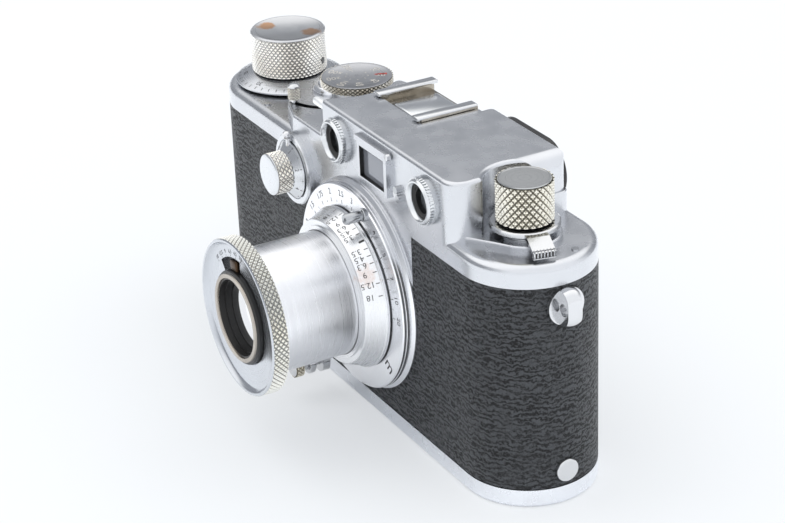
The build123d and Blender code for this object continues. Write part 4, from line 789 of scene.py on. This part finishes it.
# ---- collapsible tube
# Thin brass tube, chromed and brushed round, that slides back through the focusing mount to close the lens.
# Its brushing runs round it in fine scratches.
# Brushed chrome: the scratches break the highlight into soft bands along the tube.
tube_chrome = turned_metal("brushed_chrome_tube", "#dfe0e3", 0.3, LENS, "y", ring_mm=0.12, grain=0.08,
                           mottle=0.04)
lathe("tube_skin", [(12.9, -18.6), (14.1, -18.6), (14.1, -42.4), (12.9, -42.4)], LENS, "y", tube_chrome,
      "tube", "lens_tube", steps=192)

# ---- front ring
# Wide turned ring on the tube's end, coarsely diamond-knurled round its rim. In its dished face a sector is
# milled out for the aperture lever, beside the engraved stops.
STOP_START, STOP_STEP = 84, 10.5
RECESS_START, RECESS_STEP, RECESS_STEPS = 86, 2, 22
RECESS_INNER, RECESS_OUTER = 9.5, 13.4
CUTTER_FRONT, CUTTER_BACK = -48, -43.8
# Turned chrome of the face: a cool grey, darker than the rings behind it.
face_chrome = turned_metal("turned_chrome_face", "#bfc2c7", 0.24, LENS, "y", ring_mm=0.3, grain=0.06)
# Rim knurl: silver crests, golden where the plate has gone, over olive-brown grooves.
rim_knurl = knurled_metal("knurled_nickel_rim", "#e0e0dc", "#46402f", dirt=1.0, patina="#d9d2bc",
                          patinated=0.25)
front = lathe("front_rim", [(10.7, -43.4), (12.9, -43.4), (12.9, -42.4), (17.1, -42.4), (17.3, -42.55),
                            (17.3, -45.95), (17.66, -46.0), (17.4, -46.2), (16.95, -46.2), (16.4, -45.3),
                            (15.9, -45.02), (10.9, -45.0), (10.9, -44.4), (10.7, -44.4)],
              LENS, "y", face_chrome, "tube", "front_ring", steps=192)
knurl("front_rim_knurl", LENS, "y", 17.69, -46.02, -42.45, 80, 3, 0.42, rim_knurl, "tube")
# the milled sector, cut with a wedge
low_arc, high_arc = [], []
for k in range(RECESS_STEPS + 1):
    angle = math.radians(RECESS_START + RECESS_STEP * k)
    for reach, arc in ((RECESS_INNER, low_arc), (RECESS_OUTER, high_arc)):
        arc.append((reach * math.cos(angle), reach * math.sin(angle)))
outline = high_arc + low_arc[::-1]
count = len(outline)
mesh = bpy.data.meshes.new("recess_cutter")
mesh.from_pydata([turned_point(LENS, "y", across, over, depth) for depth in (CUTTER_FRONT, CUTTER_BACK)
                  for across, over in outline], [],
                 [tuple(range(count)), tuple(range(2 * count - 1, count - 1, -1))]
                 + [(k, k + count, (k + 1) % count + count, (k + 1) % count) for k in range(count)])
cutter = bpy.data.objects.new("recess_cutter", mesh)
bpy.context.collection.objects.link(cutter)
cut = front.modifiers.new("recess", "BOOLEAN")
cut.operation = "DIFFERENCE"
cut.solver = "EXACT"
cut.object = cutter
deselect()
front.select_set(True)
bpy.context.view_layer.objects.active = front
bpy.ops.object.modifier_apply(modifier="recess")
bpy.data.objects.remove(cutter)
bpy.ops.object.shade_smooth_by_angle(angle=math.radians(32))
printed("aperture_marks", surface_of(LENS, "y", (10.9, -45.0), (15.9, -45.02)),
        [(text, STOP_START + STOP_STEP * i, 3.7, 1.25, 0) for i, text in enumerate(stops)],
        [(STOP_START + STOP_STEP * i, 2.65, 3.0, 0.14) for i in range(6)], engraving, "tube")

# ---- aperture ring and lens
# A narrow chromed rim on a black ring turns inside the front ring and is set by a small brown lever. Within
# it lie the stepped black cells of turned brass that hold the glasses.
LEVER_ANGLE = -98
# Worn chrome of the rim: grey-brown where the brass shows through.
iris_metal = plated("worn_aperture_brass", "#b9b3aa", 0.3, mottle=0.12, stain="#5a4a3c", stained=0.5)
# Darkened brass of the lever: deep brown, nearly black in patches.
dark_brass = plated("darkened_brass_lever", "#4a3a2c", 0.35, mottle=0.3, stain="#15110e", stained=0.6)
lathe("aperture_rim", [(8.95, -44.1), (10.0, -44.1), (10.0, -46.5), (9.9, -46.7), (9.05, -46.7),
                       (8.95, -46.5)], LENS, "y", iris_metal, "aperture", "aperture_ring", steps=128)
lathe("aperture_wall", [(10.02, -44.1), (10.6, -44.1), (10.6, -45.9), (10.4, -46.2), (10.02, -46.3)],
      LENS, "y", black_lacquer, "aperture", steps=128)
block("aperture_lever", (10.35, -45.5, -1.6), (12.95, -44.1, 1.6), 0.35, dark_brass, "aperture",
      place=Matrix.Translation((LENS[0] * MM, 0, LENS[1] * MM))
      @ Matrix.Rotation(math.radians(LEVER_ANGLE), 4, "Y"))
# black floor of the milled sector
floor_at = surface_of(LENS, "y", (10.6, -43.82), (13.38, -43.82), 0.0)
shaped("recess_floor", [floor_at(86.2 + 1.98 * k, reach)[0] for k in range(RECESS_STEPS + 1)
                        for reach in (0, 2.77)],
       [(2 * k, 2 * k + 1, 2 * k + 3, 2 * k + 2) for k in range(RECESS_STEPS)], black_lacquer, "tube")
for node in ("lens_cell", "rear_cell", "iris_blades"):
    dress(node, black_lacquer)
lathe("cell_steps", [(8.98, -43.4), (8.98, -46.28), (8.6, -46.28), (8.35, -45.0), (8.0, -44.95),
                     (7.75, -43.6), (7.4, -43.55), (7.15, -42.3), (6.7, -42.1), (6.7, -41.6)],
      LENS, "y", black_lacquer, "tube", loop=False)
# Lens glass: clear, with the faintest cool tinge.
lens_glass, tree, output = blank("coated_lens_glass")
skin = add(tree, "BsdfPrincipled", {"Base Color": linear("#dfe4ea"), "Roughness": 0.02, "IOR": 1.6,
                                    "Transmission Weight": 0.9})
tree.links.new(skin.outputs[0], output.inputs[0])
dress("middle_element", lens_glass)
dress("rear_element", lens_glass)
# Front glass: a painted reflection. It is dark on its right and glows pale over its left, standing in
# for the mirrored room; past the rim the pale part shows as a crescent.
CRESCENT_CENTRE, CRESCENT_INNER, CRESCENT_OUTER = (17.2, -43.0, 32.0), 6.2, 6.7
glowing_front_glass, tree, output = blank("front_glass_painted_reflection")
point = add(tree, "TexCoord").outputs["Object"]
away = add(tree, "VectorMath", {0: point, 1: [part * MM for part in CRESCENT_CENTRE]}, operation="SUBTRACT")
reach = add(tree, "VectorMath", {0: away.outputs[0]}, operation="LENGTH")
crescent = add(tree, "MapRange", {0: reach.outputs["Value"], 1: CRESCENT_INNER * MM, 2: CRESCENT_OUTER * MM,
                                  3: 0.0, 4: 1.0})
# painted reflection: the glass glows pale beyond a circle centred off to its right
painted_gleam = add(tree, "MixRGB", {0: crescent.outputs[0], 1: linear("#0c0d12"), 2: linear("#f4f7fb")})
skin = add(tree, "BsdfPrincipled", {"Base Color": linear("#3a3d48"), "Roughness": 0.05, "Metallic": 0.6,
                                    "Emission Color": painted_gleam.outputs[0], "Emission Strength": 0.9})
tree.links.new(skin.outputs[0], output.inputs[0])
lathe("front_glass", [(0, -43.5), (1.5, -43.46), (3.0, -43.32), (4.5, -43.05), (6.0, -42.68), (7.12, -42.28),
                      (7.12, -42.05), (0, -42.05)],
      LENS, "y", glowing_front_glass, "tube", "front_element", steps=96, sharp=50)

# ---- inside the body
# Working parts that show with the base off: the cast frame, the black film crate that drops into it, the
# shutter's brass drums and rubberised cloth, and the shafts.
# Cast aluminium alloy: dull grey, rough from the mould.
cast_alloy = plated("cast_alloy", "#9a9a98", 0.5, mottle=0.1)
# Machined brass: yellow with a soft shine.
machined_brass = plated("machined_brass", "#b3905a", 0.35, mottle=0.08)
# Rubberised shutter cloth: black, with almost no shine.
curtain_cloth = plated("curtain_cloth", "#101011", 0.8)
dress("body_shell", cast_alloy)
for node in ("shutter_drum", "spring_roller", "cam_ring", "rangefinder_arm"):
    dress(node, machined_brass)
for node in ("film_crate", "pressure_plate", "take_up_spool", "sprocket_shaft", "rangefinder_block"):
    dress(node, black_lacquer)
dress("shutter_curtains", curtain_cloth)
dress("wind_shaft", bright_nickel)
dress("rewind_fork", bright_nickel)
